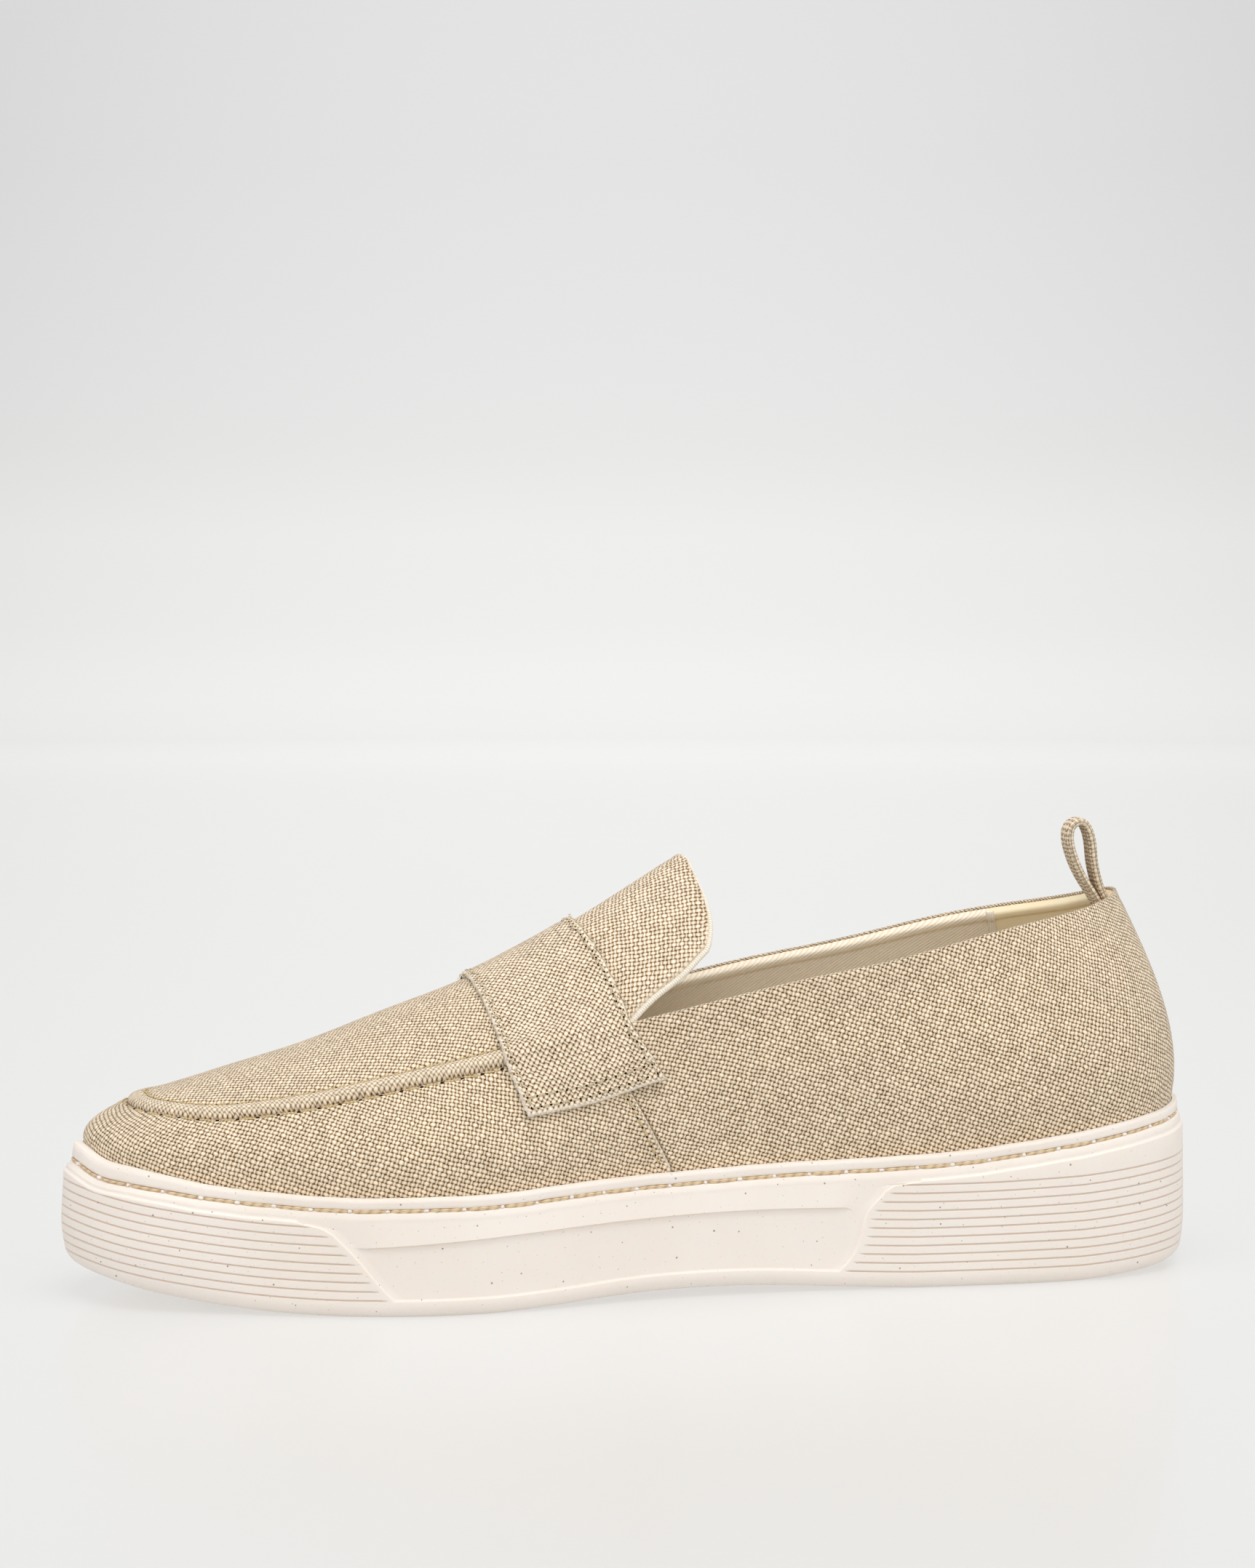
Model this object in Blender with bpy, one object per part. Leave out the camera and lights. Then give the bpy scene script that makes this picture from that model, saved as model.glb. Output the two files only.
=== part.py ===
"""Slip-on penny loafer with a cupsole: one right shoe, toe at -X, heel at +X, medial side at -Y, floor at z = 0.

The upper is a hollow linen wall lofted over a last: sections run from the foot line, at the rim of the cupsole,
up to the edge line (apron seam and collar) and over the apron to the crown line. All tables are in millimetres.
"""

import math

import bmesh
import bpy
import numpy as np
from mathutils import Vector

MM = 0.001
# The tables measure from a point near the middle of the last; the origin is at the middle of the footprint.
ORIGIN_X = 1.82
ORIGIN_Y = 0.56

# Clearances and walls
GAP = 0.3
CUP_GAP = 0.5
WALL = 2.0
MEDIAL = -1
LATERAL = 1
SIDES = (MEDIAL, LATERAL)

# Sections of the last, toe to heel: foot line, edge line (apron seam, then collar), wall profile.
# foot_x, medial and lateral half widths at the foot; edge_x, edge half width, edge height;
# belly and shoulder shape the wall sideways, rise and fall shape it upwards.
SECTIONS = (
    # name          foot_x  medial lateral edge_x  half  edge_z belly shoulder rise  fall
    ("toe tip",     -142.9,   2.0,  -2.0, -131.5,  0.0,  49.4, 1.05, 0.60, 0.42, 0.24),
    ("toe cap",     -140.3,  11.5,   8.5, -129.6,  9.6,  49.1, 1.05, 0.60, 0.42, 0.24),
    ("toe corner",  -133.4,  21.5,  18.5, -123.6, 17.8,  48.6, 1.05, 0.60, 0.42, 0.25),
    ("toe side",    -121.3,  29.8,  27.8, -113.2, 24.8,  48.1, 1.05, 0.60, 0.42, 0.27),
    ("toe joint",   -104.0,  37.2,  36.4,  -99.0, 30.4,  49.6, 1.06, 0.60, 0.42, 0.29),
    ("ball front",   -82.3,  45.0,  44.6,  -81.3, 34.0,  52.6, 1.08, 0.60, 0.42, 0.30),
    ("ball",         -60.3,  49.4,  49.4,  -61.8, 35.8,  56.5, 1.10, 0.58, 0.42, 0.30),
    ("strap front",  -31.0,  44.9,  50.2,  -38.8, 35.4,  61.0, 1.12, 0.55, 0.40, 0.30),
    ("strap middle", -10.5,  39.0,  47.5,  -22.2, 33.6,  65.4, 1.14, 0.50, 0.38, 0.32),
    ("vamp seam",      4.2,  36.2,  44.9,  -14.4, 32.2,  67.6, 1.16, 0.48, 0.37, 0.33),
    ("strap back",    15.6,  34.9,  43.2,   -5.2, 30.5,  69.9, 1.18, 0.46, 0.36, 0.33),
    ("waist",         32.0,  34.1,  40.7,   15.8, 29.2,  74.4, 1.22, 0.42, 0.35, 0.33),
    ("quarter",       54.5,  34.6,  38.6,   41.8, 28.6,  79.9, 1.25, 0.40, 0.34, 0.33),
    ("ankle",         78.0,  35.7,  37.3,   66.5, 27.9,  84.4, 1.25, 0.42, 0.33, 0.33),
    ("heel side",    100.5,  36.0,  36.4,   89.0, 25.8,  89.6, 1.24, 0.48, 0.33, 0.33),
    ("heel turn",    122.4,  34.0,  34.0,  109.0, 21.2,  93.5, 1.22, 0.54, 0.33, 0.33),
    ("heel corner",  138.6,  25.0,  25.0,  124.4, 14.2,  96.3, 1.20, 0.57, 0.33, 0.33),
    ("heel curve",   146.6,  13.0,  13.0,  132.0,  7.2,  98.5, 1.20, 0.58, 0.33, 0.33),
    ("heel back",    149.3,   0.0,   0.0,  134.3,  0.0,  99.4, 1.20, 0.58, 0.33, 0.33),
)
# Crown line of the apron and tongue, a row for each section that has an apron: x and height.
CROWN = (
    # name          crown_x crown_z
    ("toe tip",     -121.0,  53.0),
    ("toe cap",     -119.9,  53.4),
    ("toe corner",  -116.5,  54.4),
    ("toe side",    -110.2,  56.3),
    ("toe joint",    -99.2,  59.4),
    ("ball front",   -83.2,  64.1),
    ("ball",         -65.2,  70.8),
    ("strap front",  -42.3,  79.2),
    ("strap middle", -28.5,  85.9),
    ("vamp seam",    -21.2,  89.7),
    ("strap back",   -14.0,  93.6),
)
# Free part of the tongue behind the strap: crown, side line, and how far round the tongue reaches.
TONGUE = (
    # name          crown_x crown_z side_x  half  side_z reach
    ("strap back",   -14.0,  93.6,  -5.2,  30.5,  69.9, 1.00),
    ("lower",         -7.0,  97.7,   1.5,  28.9,  76.3, 1.00),
    ("middle",         0.5, 102.3,   9.4,  27.5,  82.0, 1.00),
    ("upper",          7.0, 106.3,  15.6,  25.6,  87.6, 0.99),
    ("shoulder",      11.5, 109.1,  20.6,  24.2,  91.0, 0.74),
    ("tip",           14.8, 111.0,  23.0,  22.6,  94.0, 0.20),
)
# Side view of the cupsole: rim height, height of the medial and lateral bottom edge, rib pitch.
RIM = (
    # x        z
    (-142.9, 40.2), (-139.3, 38.0), (-133.3, 36.7), (-125.3, 35.4), (-117.3, 34.1), (-105.3, 32.7),
    (-79.3, 31.2), (-60.3, 31.3), (-40.3, 31.5), (-21.3, 32.6), (5.8, 33.6), (27.8, 34.5),
    (57.8, 35.4), (77.8, 36.3), (108.8, 39.8), (133.8, 43.3), (149.3, 45.2),
)
BOTTOM = (
    # x       medial lateral
    (-152.0, 9.0, 9.0), (-145.3, 7.4, 7.4), (-140.3, 6.3, 6.3), (-134.3, 5.1, 5.1), (-126.3, 3.8, 3.8),
    (-115.3, 2.3, 2.3), (-104.3, 1.1, 1.1), (-91.3, 0.3, 0.3), (-81.3, 0.0, 0.0), (-45.0, 0.0, 0.0),
    (-33.3, 0.4, 0.1), (-21.3, 1.0, 0.4), (-10.3, 1.7, 0.7), (5.8, 2.2, 1.0), (27.8, 2.0, 0.9),
    (44.8, 1.1, 0.5), (57.8, 0.4, 0.2), (69.0, 0.0, 0.0), (114.0, 0.0, 0.0), (126.0, 0.5, 0.5),
    (138.0, 1.1, 1.1), (153.0, 1.9, 1.9),
)
# Floor of the cup, under the insole
CUP_FLOOR = (
    # x        z
    (-145.3, 18.0), (-123.3, 15.2), (-93.3, 13.4), (-58.3, 13.2), (-23.3, 15.4), (11.8, 18.8),
    (51.8, 22.2), (93.0, 24.0), (149.3, 24.6),
)
# Slanted ends of the ribbed panels: height and x
TOE_PANEL_END = (
    # z      x
    (0.0, -66.5), (2.5, -68.5), (9.5, -74.6), (16.4, -80.1), (20.6, -84.2), (22.6, -87.6), (23.8, -93.0),
)
HEEL_PANEL_END = (
    # z      x
    (0.0, 46.0), (4.8, 48.6), (7.0, 50.9), (15.0, 55.0), (22.6, 58.4), (25.6, 61.2), (27.3, 65.6), (27.9, 71.0),
)

# Cupsole side
LIP_TOE = 3.0
LIP_SIDE = 2.8
LIP_HEEL = 1.7
LIP_HEIGHT = 4.2
LIP_CREST = 0.3
STITCH_GROOVE = 0.9
WALL_STEP = 0.4
PANEL_RAISE = 0.8
PANEL_DROP = 7.7
DRAFT_TOE = 2.4
DRAFT_SIDE = 0.8
DRAFT_HEEL = 0.7
RIB_START = 4.4
RIB_PITCH = 2.27
RIB_SPREAD = 0.14
RIB_GROOVE = 0.5
RIB_GROOVE_WIDTH = 0.7
TOE_RIBS = 9
HEEL_RIBS = 11
BAND_HEIGHT = 4.5
STEP_LINE = ((-79.0, 17.4), (-40.0, 19.8), (-2.0, 21.3), (30.0, 21.9), (54.0, 21.6))
STEP_RELIEF = 0.4
STEP_FADE = 7.0
BEVEL_SIDE = 1.3
BEVEL_TOE = 4.0
BEVEL_HEEL = 3.0

# Tread grooves cut across the bottom
TREAD_DEPTH = 1.2
TREAD_WIDTH = 2.4
TREAD_ROWS = ((-112.0, 22.0), (-102.0, 27.0), (-92.0, 31.0), (-82.0, 34.0), (-72.0, 36.0), (-62.0, 37.0),
              (-52.0, 37.0), (-42.0, 36.0), (82.0, 25.0), (92.0, 25.0), (102.0, 25.0), (112.0, 23.0),
              (122.0, 19.0))
TREAD_SWEEP = 5.0

# Insole
INSOLE_THICK = 4.5
INSOLE_EDGE = 0.8
INSOLE_SIDE_GAP = 0.8

# Raised moc seam along the apron
RIDGE_WIDTH = 5.0
RIDGE_BACK = 1.3
RIDGE_TOE = 0.5
# The vamp lies over the quarter up to its seam
VAMP_STEP = 0.9

# Saddle strap
STRAP_THICK = 2.0
STRAP_GAP = 0.6
STRAP_WALL_ROWS = 3
# Height of the strap's lower edge at its front and back, on each side
STRAP_EDGE = {MEDIAL: (48.2, 55.6), LATERAL: (48.2, 55.6)}

# Tongue
TONGUE_THICK = 2.2
TONGUE_SIDE_GAP = 1.0
TONGUE_SIDE_SHARE = 0.022

# Pull loop: centre line of the folded strip in the middle plane, x and z
LOOP_THICK = 1.8
LOOP_WIDTH = 7.5
LOOP_PATH = (
    (133.9, 91.5), (132.1, 94.9), (130.6, 97.7), (129.2, 100.4), (128.0, 103.4), (127.2, 107.0),
    (126.8, 110.8), (126.1, 114.6), (124.3, 117.5), (122.4, 116.6), (121.7, 113.6), (122.4, 109.6),
    (123.8, 105.6), (125.4, 102.2), (126.9, 99.4), (128.7, 96.6), (130.2, 93.9), (132.0, 90.5),
)

# The apron's arch: how fast it rises from its edge, and the sections that fan out round the toe
ARCH_RISE = 0.62
TOE_FAN = 3.0

# Mesh columns per side and rows
TOE_COLUMNS = 12
MID_COLUMNS = 12
HEEL_COLUMNS = 14
WALL_ROWS = 6
APRON_ROWS = 4
LINING_ROWS = 3
TONGUE_COLUMNS = 9
TONGUE_ROWS = 7

COLOURS = {
    "rubber": ((0.83, 0.77, 0.71), 0.55),
    "linen": ((0.53, 0.45, 0.33), 0.90),
    "strap linen": ((0.55, 0.47, 0.35), 0.90),
    "tongue linen": ((0.52, 0.44, 0.32), 0.90),
    "loop linen": ((0.50, 0.42, 0.31), 0.90),
    "footbed": ((0.62, 0.54, 0.40), 0.85),
}


# ---------------------------------------------------------------- curves

def slopes(knots, values, closed):
    """Slopes of a smooth cubic through values at knots; a closed one has its last knot one period on."""
    spans = np.diff(knots)
    count = len(spans) if closed else len(knots)
    rates = np.diff(values, axis=0) / spans[:, None]
    matrix = np.zeros((count, count))
    right = np.zeros((count, values.shape[1]))
    for i in range(count):
        if not closed and i in (0, count - 1):
            matrix[i, i] = 2.0
            matrix[i, 1 if i == 0 else i - 1] = 1.0
            right[i] = 3.0 * rates[0 if i == 0 else -1]
            continue
        before = spans[i - 1]
        after = spans[i]
        matrix[i, (i - 1) % count] += after
        matrix[i, i] += 2.0 * (before + after)
        matrix[i, (i + 1) % count] += before
        right[i] = 3.0 * (after * rates[i - 1] + before * rates[i])
    result = np.linalg.solve(matrix, right)
    return np.vstack([result, result[:1]]) if closed else result


class Curve:
    """A smooth cubic curve through a table's rows."""

    def __init__(self, knots, values, closed=False):
        self.knots = np.asarray(knots, float)
        self.values = np.asarray(values, float)
        if self.values.ndim == 1:
            self.values = self.values[:, None]
        self.slopes = slopes(self.knots, self.values, closed)

    def at(self, t):
        low, high = self.knots[0], self.knots[-1]
        t = min(max(t, low), high)
        i = min(max(int(np.searchsorted(self.knots, t)) - 1, 0), len(self.knots) - 2)
        span = self.knots[i + 1] - self.knots[i]
        s = (t - self.knots[i]) / span
        a = (1 + 2 * s) * (1 - s) ** 2
        b = s * (1 - s) ** 2
        c = s * s * (3 - 2 * s)
        d = -s * s * (1 - s)
        value = (a * self.values[i] + b * span * self.slopes[i]
                 + c * self.values[i + 1] + d * span * self.slopes[i + 1])
        return float(value[0]) if len(value) == 1 else value


def height_curve(rows):
    return Curve([row[0] for row in rows], [row[1:] for row in rows])


def smooth(t):
    t = min(max(t, 0.0), 1.0)
    return t * t * (3.0 - 2.0 * t)


def blend(a, b, t):
    return a + (b - a) * t


def bezier(p0, p1, p2, p3, t):
    s = 1.0 - t
    return s * s * s * p0 + 3 * s * s * t * p1 + 3 * s * t * t * p2 + t * t * t * p3


RIM_CURVE = height_curve(RIM)
BOTTOM_CURVE = height_curve(BOTTOM)
FLOOR_CURVE = height_curve(CUP_FLOOR)
STEP_CURVE = height_curve(STEP_LINE)
TOE_END_CURVE = height_curve(TOE_PANEL_END)
HEEL_END_CURVE = height_curve(HEEL_PANEL_END)


# ---------------------------------------------------------------- the last

class Last:
    """Surface of the last. A station runs from 0 at the toe tip to LAST_ROW at the back of the heel."""

    def __init__(self):
        foot = []
        edge = []
        shape = []
        for row in SECTIONS:
            _, foot_x, medial, _, edge_x, half, edge_z, *profile = row
            foot.append((foot_x, -medial))
            edge.append((edge_x, -half, edge_z))
            shape.append(profile)
        for row in SECTIONS[-2:0:-1]:
            _, foot_x, _, lateral, edge_x, half, edge_z, *profile = row
            foot.append((foot_x, lateral))
            edge.append((edge_x, half, edge_z))
            shape.append(profile)
        for table in (foot, edge, shape):
            table.append(table[0])
        foot = np.array(foot)
        steps = np.linalg.norm(np.diff(foot, axis=0), axis=1)
        knots = np.concatenate([[0.0], np.cumsum(steps)])
        self.knots = knots
        self.last_row = len(SECTIONS) - 1
        self.foot_curve = Curve(knots, foot, closed=True)
        self.edge_curve = Curve(knots, edge, closed=True)
        self.shape_curve = Curve(knots, shape, closed=True)
        mirrored = [row[1:] for row in CROWN[:0:-1]] + [row[1:] for row in CROWN]
        reach = len(CROWN) - 1
        crown_knots = np.concatenate([-knots[reach:0:-1], knots[:reach + 1]])
        self.crown_curve = Curve(crown_knots, mirrored)
        fine = np.linspace(0.0, self.last_row, 721)
        self.station_table = fine
        self.x_table = np.array([self.foot(s, MEDIAL)[0] for s in fine])

    def parameter(self, station, side):
        rows = np.arange(len(self.knots))
        if side == MEDIAL:
            return float(np.interp(station, rows, self.knots))
        return float(np.interp(2 * self.last_row - station, rows, self.knots))

    def foot(self, station, side):
        return self.foot_curve.at(self.parameter(station, side))

    def station_at_x(self, x):
        return float(np.interp(x, self.x_table, self.station_table))

    def station_between(self, first, last, fraction):
        """Station a fraction of the way along the medial foot line from one station to another."""
        start = self.parameter(first, MEDIAL)
        end = self.parameter(last, MEDIAL)
        rows = np.arange(self.last_row + 1)
        return float(np.interp(blend(start, end, fraction), self.knots[:self.last_row + 1], rows))

    def across(self, station, side):
        """Station and side, taken on past the toe tip or the heel back onto the other side."""
        if station < 0:
            return -station, -side
        if station > self.last_row:
            return 2 * self.last_row - station, -side
        return station, side

    def outward(self, station, side):
        """Unit vector in plan, square to the foot line and pointing out of the shoe."""
        t = self.parameter(station, side)
        total = self.knots[-1]
        step = 0.5
        ahead = self.foot_curve.at((t + step) % total)
        behind = self.foot_curve.at((t - step) % total)
        along = (ahead - behind) / np.linalg.norm(ahead - behind)
        return np.array([along[1], -along[0]])

    def offset_foot(self, station, side, distance):
        return self.foot(station, side) + self.outward(station, side) * distance

    def wall(self, station, side, v):
        """Point on the wall: v is 0 at the rim of the cupsole and 1 at the edge line."""
        t = self.parameter(station, side)
        foot = self.foot_curve.at(t)
        edge = self.edge_curve.at(t)
        belly, shoulder, rise, fall = self.shape_curve.at(t)
        low = RIM_CURVE.at(foot[0])
        tall = edge[2] - low
        z = bezier(low, low + rise * tall, edge[2] - fall * tall, edge[2], v)
        spread = bezier(1.0, belly, shoulder, 0.0, v)
        out = self.outward(station, side)
        lean = foot - edge[:2]
        across = float(lean @ out)
        along = lean - out * across
        plan = edge[:2] + along * (edge[2] - z) / tall + out * across * spread
        return np.array([plan[0], plan[1], z])

    def apron(self, station, side, w):
        """Point on the apron: w is 0 at the edge line and 1 at the crown."""
        t = self.parameter(station, side)
        edge = self.edge_curve.at(t)
        reach = self.parameter(station, MEDIAL)
        crown = self.crown_curve.at(reach)
        fan = 1.0 - smooth(station / TOE_FAN)
        return arch_point(edge, crown, self.crown_slope(reach), w, fan)

    def crown_slope(self, reach):
        step = 0.5
        ahead = self.crown_curve.at(reach + step)
        behind = self.crown_curve.at(reach - step)
        if abs(ahead[0] - behind[0]) < 0.05:
            return 0.33
        return float((ahead[1] - behind[1]) / (ahead[0] - behind[0]))


def arch_point(edge, crown, slope, w, fan=0.0):
    """Point of an arch from the edge up to the crown, which it crosses square, or fanned out at the toe."""
    top = np.array([crown[0], 0.0, crown[1]])
    start = np.asarray(edge, float)
    reach = top - start
    first = start + np.array([reach[0] / 3, reach[1] / 3, reach[2] * ARCH_RISE])
    dx = -reach[0] / 3 * fan
    second = top + np.array([dx, -reach[1] / 3, slope * dx])
    return bezier(start, first, second, top, w)


LAST = Last()
ROW = {row[0]: i for i, row in enumerate(SECTIONS)}


def surface_normal(point, station, side, v):
    """Unit normal, out of the shoe, of a surface given by point(station, side, v)."""
    step = 0.04
    ahead = point(*LAST.across(station + step, side), v)
    behind = point(*LAST.across(station - step, side), v)
    upper = point(station, side, min(v + 0.02, 1.0))
    lower = point(station, side, max(v - 0.02, 0.0))
    normal = np.cross(ahead - behind, upper - lower)
    normal /= np.linalg.norm(normal)
    place = point(station, side, v)
    centre = np.array([min(max(place[0], -105.0), 105.0), 0.0, 35.0])
    return normal if normal @ (place - centre) > 0 else -normal


def crown_normal(station):
    slope = LAST.crown_slope(LAST.parameter(station, MEDIAL))
    normal = np.array([-slope, 0.0, 1.0])
    return normal / np.linalg.norm(normal)


def wall_normal(station, side, v):
    return surface_normal(LAST.wall, station, side, v)


def apron_normal(station, side, w):
    if w > 0.999:
        return crown_normal(station)
    return surface_normal(LAST.apron, station, side, w)


def edge_normal(station, side):
    """Normal at the edge line, between the wall's and the apron's."""
    normal = wall_normal(station, side, 1.0)
    if station <= THROAT:
        normal = normal + apron_normal(station, side, 0.0)
    return normal / np.linalg.norm(normal)


def apron_fraction(station, side, distance):
    """Fraction w of the apron at a distance in from the edge line."""
    marks = np.linspace(0.0, 1.0, 25)
    points = [LAST.apron(station, side, w) for w in marks]
    lengths = np.concatenate([[0.0], np.cumsum(np.linalg.norm(np.diff(points, axis=0), axis=1))])
    return float(np.interp(distance, lengths, marks))


STRAP_FRONT = float(ROW["strap front"])
THROAT = float(ROW["strap middle"])
VAMP_SEAM = float(ROW["vamp seam"])
STRAP_BACK = float(ROW["strap back"])
TOE_TOP = LAST.station_at_x(TOE_PANEL_END[-1][1])
HEEL_TOP = LAST.station_at_x(HEEL_PANEL_END[-1][1])
SEAM_SPLIT = 0.03


def bottom_height(x, side):
    """Height of the bottom edge; the heel and the forefoot stand flat on the floor."""
    return max(float(BOTTOM_CURVE.at(x)[0 if side == MEDIAL else 1]), 0.0)


# ---------------------------------------------------------------- mesh helpers

def placed(x, y, z):
    """Point of the finished mesh, in metres, of a point in the tables' own millimetres."""
    return Vector((x - ORIGIN_X, y - ORIGIN_Y, z)) * MM


class Body:
    """Collects the vertices and faces of one closed solid, in millimetres."""

    def __init__(self):
        self.points = []
        self.faces = []

    def add(self, point):
        self.points.append(tuple(point))
        return len(self.points) - 1

    def column(self, points):
        return [self.add(point) for point in points]

    def face(self, *corners):
        kept = []
        for corner in corners:
            if corner not in kept:
                kept.append(corner)
        if len(kept) > 2:
            self.faces.append(kept)

    def strip(self, first, second):
        """Faces between two columns, which may have different numbers of vertices."""
        if len(first) == len(second):
            for i in range(len(first) - 1):
                self.face(first[i], first[i + 1], second[i + 1], second[i])
            return
        i = 0
        j = 0
        while i < len(first) - 1 or j < len(second) - 1:
            step_first = j == len(second) - 1
            if i < len(first) - 1 and j < len(second) - 1:
                down_first = self.points[first[i + 1]][2]
                down_second = self.points[second[j + 1]][2]
                step_first = down_first >= down_second
            if step_first:
                self.face(first[i], first[i + 1], second[j])
                i += 1
            else:
                self.face(first[i], second[j + 1], second[j])
                j += 1

    def strip_by_index(self, first, second):
        """Faces between two columns of different lengths that run side by side from end to end."""
        i = 0
        j = 0
        while i < len(first) - 1 or j < len(second) - 1:
            if j == len(second) - 1 or (i < len(first) - 1 and i * (len(second) - 1) <= j * (len(first) - 1)):
                self.face(first[i], first[i + 1], second[j])
                i += 1
            else:
                self.face(first[i], second[j + 1], second[j])
                j += 1

    def ring(self, columns):
        for i, column in enumerate(columns):
            self.strip(column, columns[(i + 1) % len(columns)])

    def web(self, medial, lateral):
        """Faces across the shoe between two rows that share their first and last vertices."""
        for i in range(len(medial) - 1):
            self.face(medial[i], medial[i + 1], lateral[i + 1], lateral[i])

    def build(self, name, material, sharp_angle=35.0):
        mesh = bpy.data.meshes.new(name)
        mesh.from_pydata([placed(*p) for p in self.points], [], self.faces)
        work = bmesh.new()
        work.from_mesh(mesh)
        bmesh.ops.recalc_face_normals(work, faces=work.faces)
        bmesh.ops.triangulate(work, faces=work.faces)
        work.to_mesh(mesh)
        work.free()
        mesh.shade_smooth()
        mesh.set_sharp_from_angle(angle=math.radians(sharp_angle))
        part = bpy.data.objects.new(name, mesh)
        part.data.materials.append(material)
        bpy.context.scene.collection.objects.link(part)
        return part


def make_material(name):
    colour, roughness = COLOURS[name]
    material = bpy.data.materials.new(name)
    material.use_nodes = True
    shader = material.node_tree.nodes["Principled BSDF"]
    shader.inputs["Base Color"].default_value = (*colour, 1.0)
    shader.inputs["Roughness"].default_value = roughness
    shader.inputs["Metallic"].default_value = 0.0
    return material


# ---------------------------------------------------------------- cupsole

def end_weight(x, toe, side, heel):
    """Value that is toe at the toe tip, side along the waist and heel at the back of the heel."""
    if x < 0:
        return blend(side, toe, smooth((-x - 90.0) / 48.0))
    return blend(side, heel, smooth((x - 90.0) / 48.0))


def sole_column_plan():
    """Zone and fraction of each column of the side, from the toe tip to the back of the heel."""
    plan = [("toe", i / TOE_COLUMNS) for i in range(TOE_COLUMNS + 1)]
    plan += [("waist", i / MID_COLUMNS) for i in range(MID_COLUMNS + 1)]
    plan += [("heel", i / HEEL_COLUMNS) for i in range(HEEL_COLUMNS + 1)]
    return plan


def sole_station(zone, fraction, z):
    """Station of a column at height z: columns lean with the slanted ends of the panels."""
    toe_x = TOE_END_CURVE.at(z)
    heel_x = HEEL_END_CURVE.at(z)
    if zone == "toe":
        return LAST.station_between(0.0, LAST.station_at_x(toe_x), fraction)
    if zone == "heel":
        return LAST.station_between(LAST.station_at_x(heel_x), LAST.last_row, fraction)
    first = LAST.station_at_x(toe_x + PANEL_RAISE)
    last = LAST.station_at_x(heel_x - PANEL_RAISE)
    return LAST.station_between(first, last, fraction)


def step_relief(x):
    start = STEP_LINE[0][0]
    end = STEP_LINE[-1][0]
    return STEP_RELIEF * smooth((x - start) / STEP_FADE) * smooth((end - x) / STEP_FADE)


def sole_profile(zone):
    """Rows of a column from the lip down: what the height is measured from, rise, and offset rule."""
    rows = [
        ("rim", 0.0, "inside", 0.0),
        ("rim", 0.5, "lip", -2.0),
        ("rim", -0.2, "lip", -0.5),
        ("rim", -1.5, "lip", 0.0),
        ("rim", 0.3 - LIP_HEIGHT, "lip", 0.0),
        ("rim", -0.3 - LIP_HEIGHT, "lip", -STITCH_GROOVE),
        ("rim", -0.9 - LIP_HEIGHT, "lip", 0.1),
        ("rim", 0.5 - PANEL_DROP, "wall", 0.0),
    ]
    if zone == "waist":
        rows += [("step", 0.3, "step", 0.0), ("step", -0.2, "wall", -0.1)]
        rows += [("floor", BAND_HEIGHT + 0.6, "wall", 0.0), ("floor", BAND_HEIGHT - 0.1, "panel", 0.0)]
    else:
        rows += [("rim", -0.2 - PANEL_DROP, "panel", 0.0)]
        count = TOE_RIBS if zone == "toe" else HEEL_RIBS
        for rib in reversed(range(count)):
            rows += [("rib", rib, "panel", 0.5 * RIB_GROOVE_WIDTH),
                     ("rib", rib, "groove", 0.0),
                     ("rib", rib, "panel", -0.5 * RIB_GROOVE_WIDTH)]
    rows += [("bevel", 1.0, "bevel", 0.0), ("bevel", 0.3, "bevel", 0.3), ("bevel", 0.0, "bevel", 1.0)]
    return rows


def sole_point(zone, fraction, side, row, above):
    """Point of one row of a column; above is the height of the row before, which it stays under."""
    kind, rise, rule, extra = row
    z = above
    for _ in range(3):
        station = sole_station(zone, fraction, z)
        foot = LAST.foot(station, side)
        out = LAST.outward(station, side)
        lip = end_weight(foot[0], LIP_TOE, LIP_SIDE, LIP_HEEL)
        bevel = end_weight(foot[0], BEVEL_TOE, BEVEL_SIDE, BEVEL_HEEL)
        rim = RIM_CURVE.at(foot[0])
        bottom = bottom_height(foot[0] + out[0] * (lip + PANEL_RAISE), side)
        pitch = RIB_PITCH + RIB_SPREAD * smooth((foot[0] - 80.0) / 60.0)
        heights = {
            "rim": rim + rise,
            "step": STEP_CURVE.at(foot[0]) + rise,
            "floor": bottom + rise,
            "rib": bottom + RIB_START + pitch * rise + extra,
            "bevel": bottom + bevel * rise,
        }
        z = heights[kind]
        if above is not None:
            z = min(z, above - 0.1)
    draft = end_weight(foot[0], DRAFT_TOE, DRAFT_SIDE, DRAFT_HEEL)
    wall = lip + WALL_STEP + draft * (rim - z) / (rim - bottom)
    panel = wall + PANEL_RAISE
    offsets = {
        "inside": CUP_GAP,
        "lip": max(lip + extra, CUP_GAP + LIP_CREST),
        "wall": wall + extra,
        "step": wall + step_relief(foot[0]),
        "panel": panel,
        "groove": panel - RIB_GROOVE,
        "bevel": panel - bevel * extra,
    }
    plan = foot + out * offsets[rule]
    return (plan[0], plan[1], z)


def sole_column(zone, fraction, side):
    points = []
    above = 60.0
    for row in sole_profile(zone):
        point = sole_point(zone, fraction, side, row, above)
        above = point[2]
        points.append(point)
    return points


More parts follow.
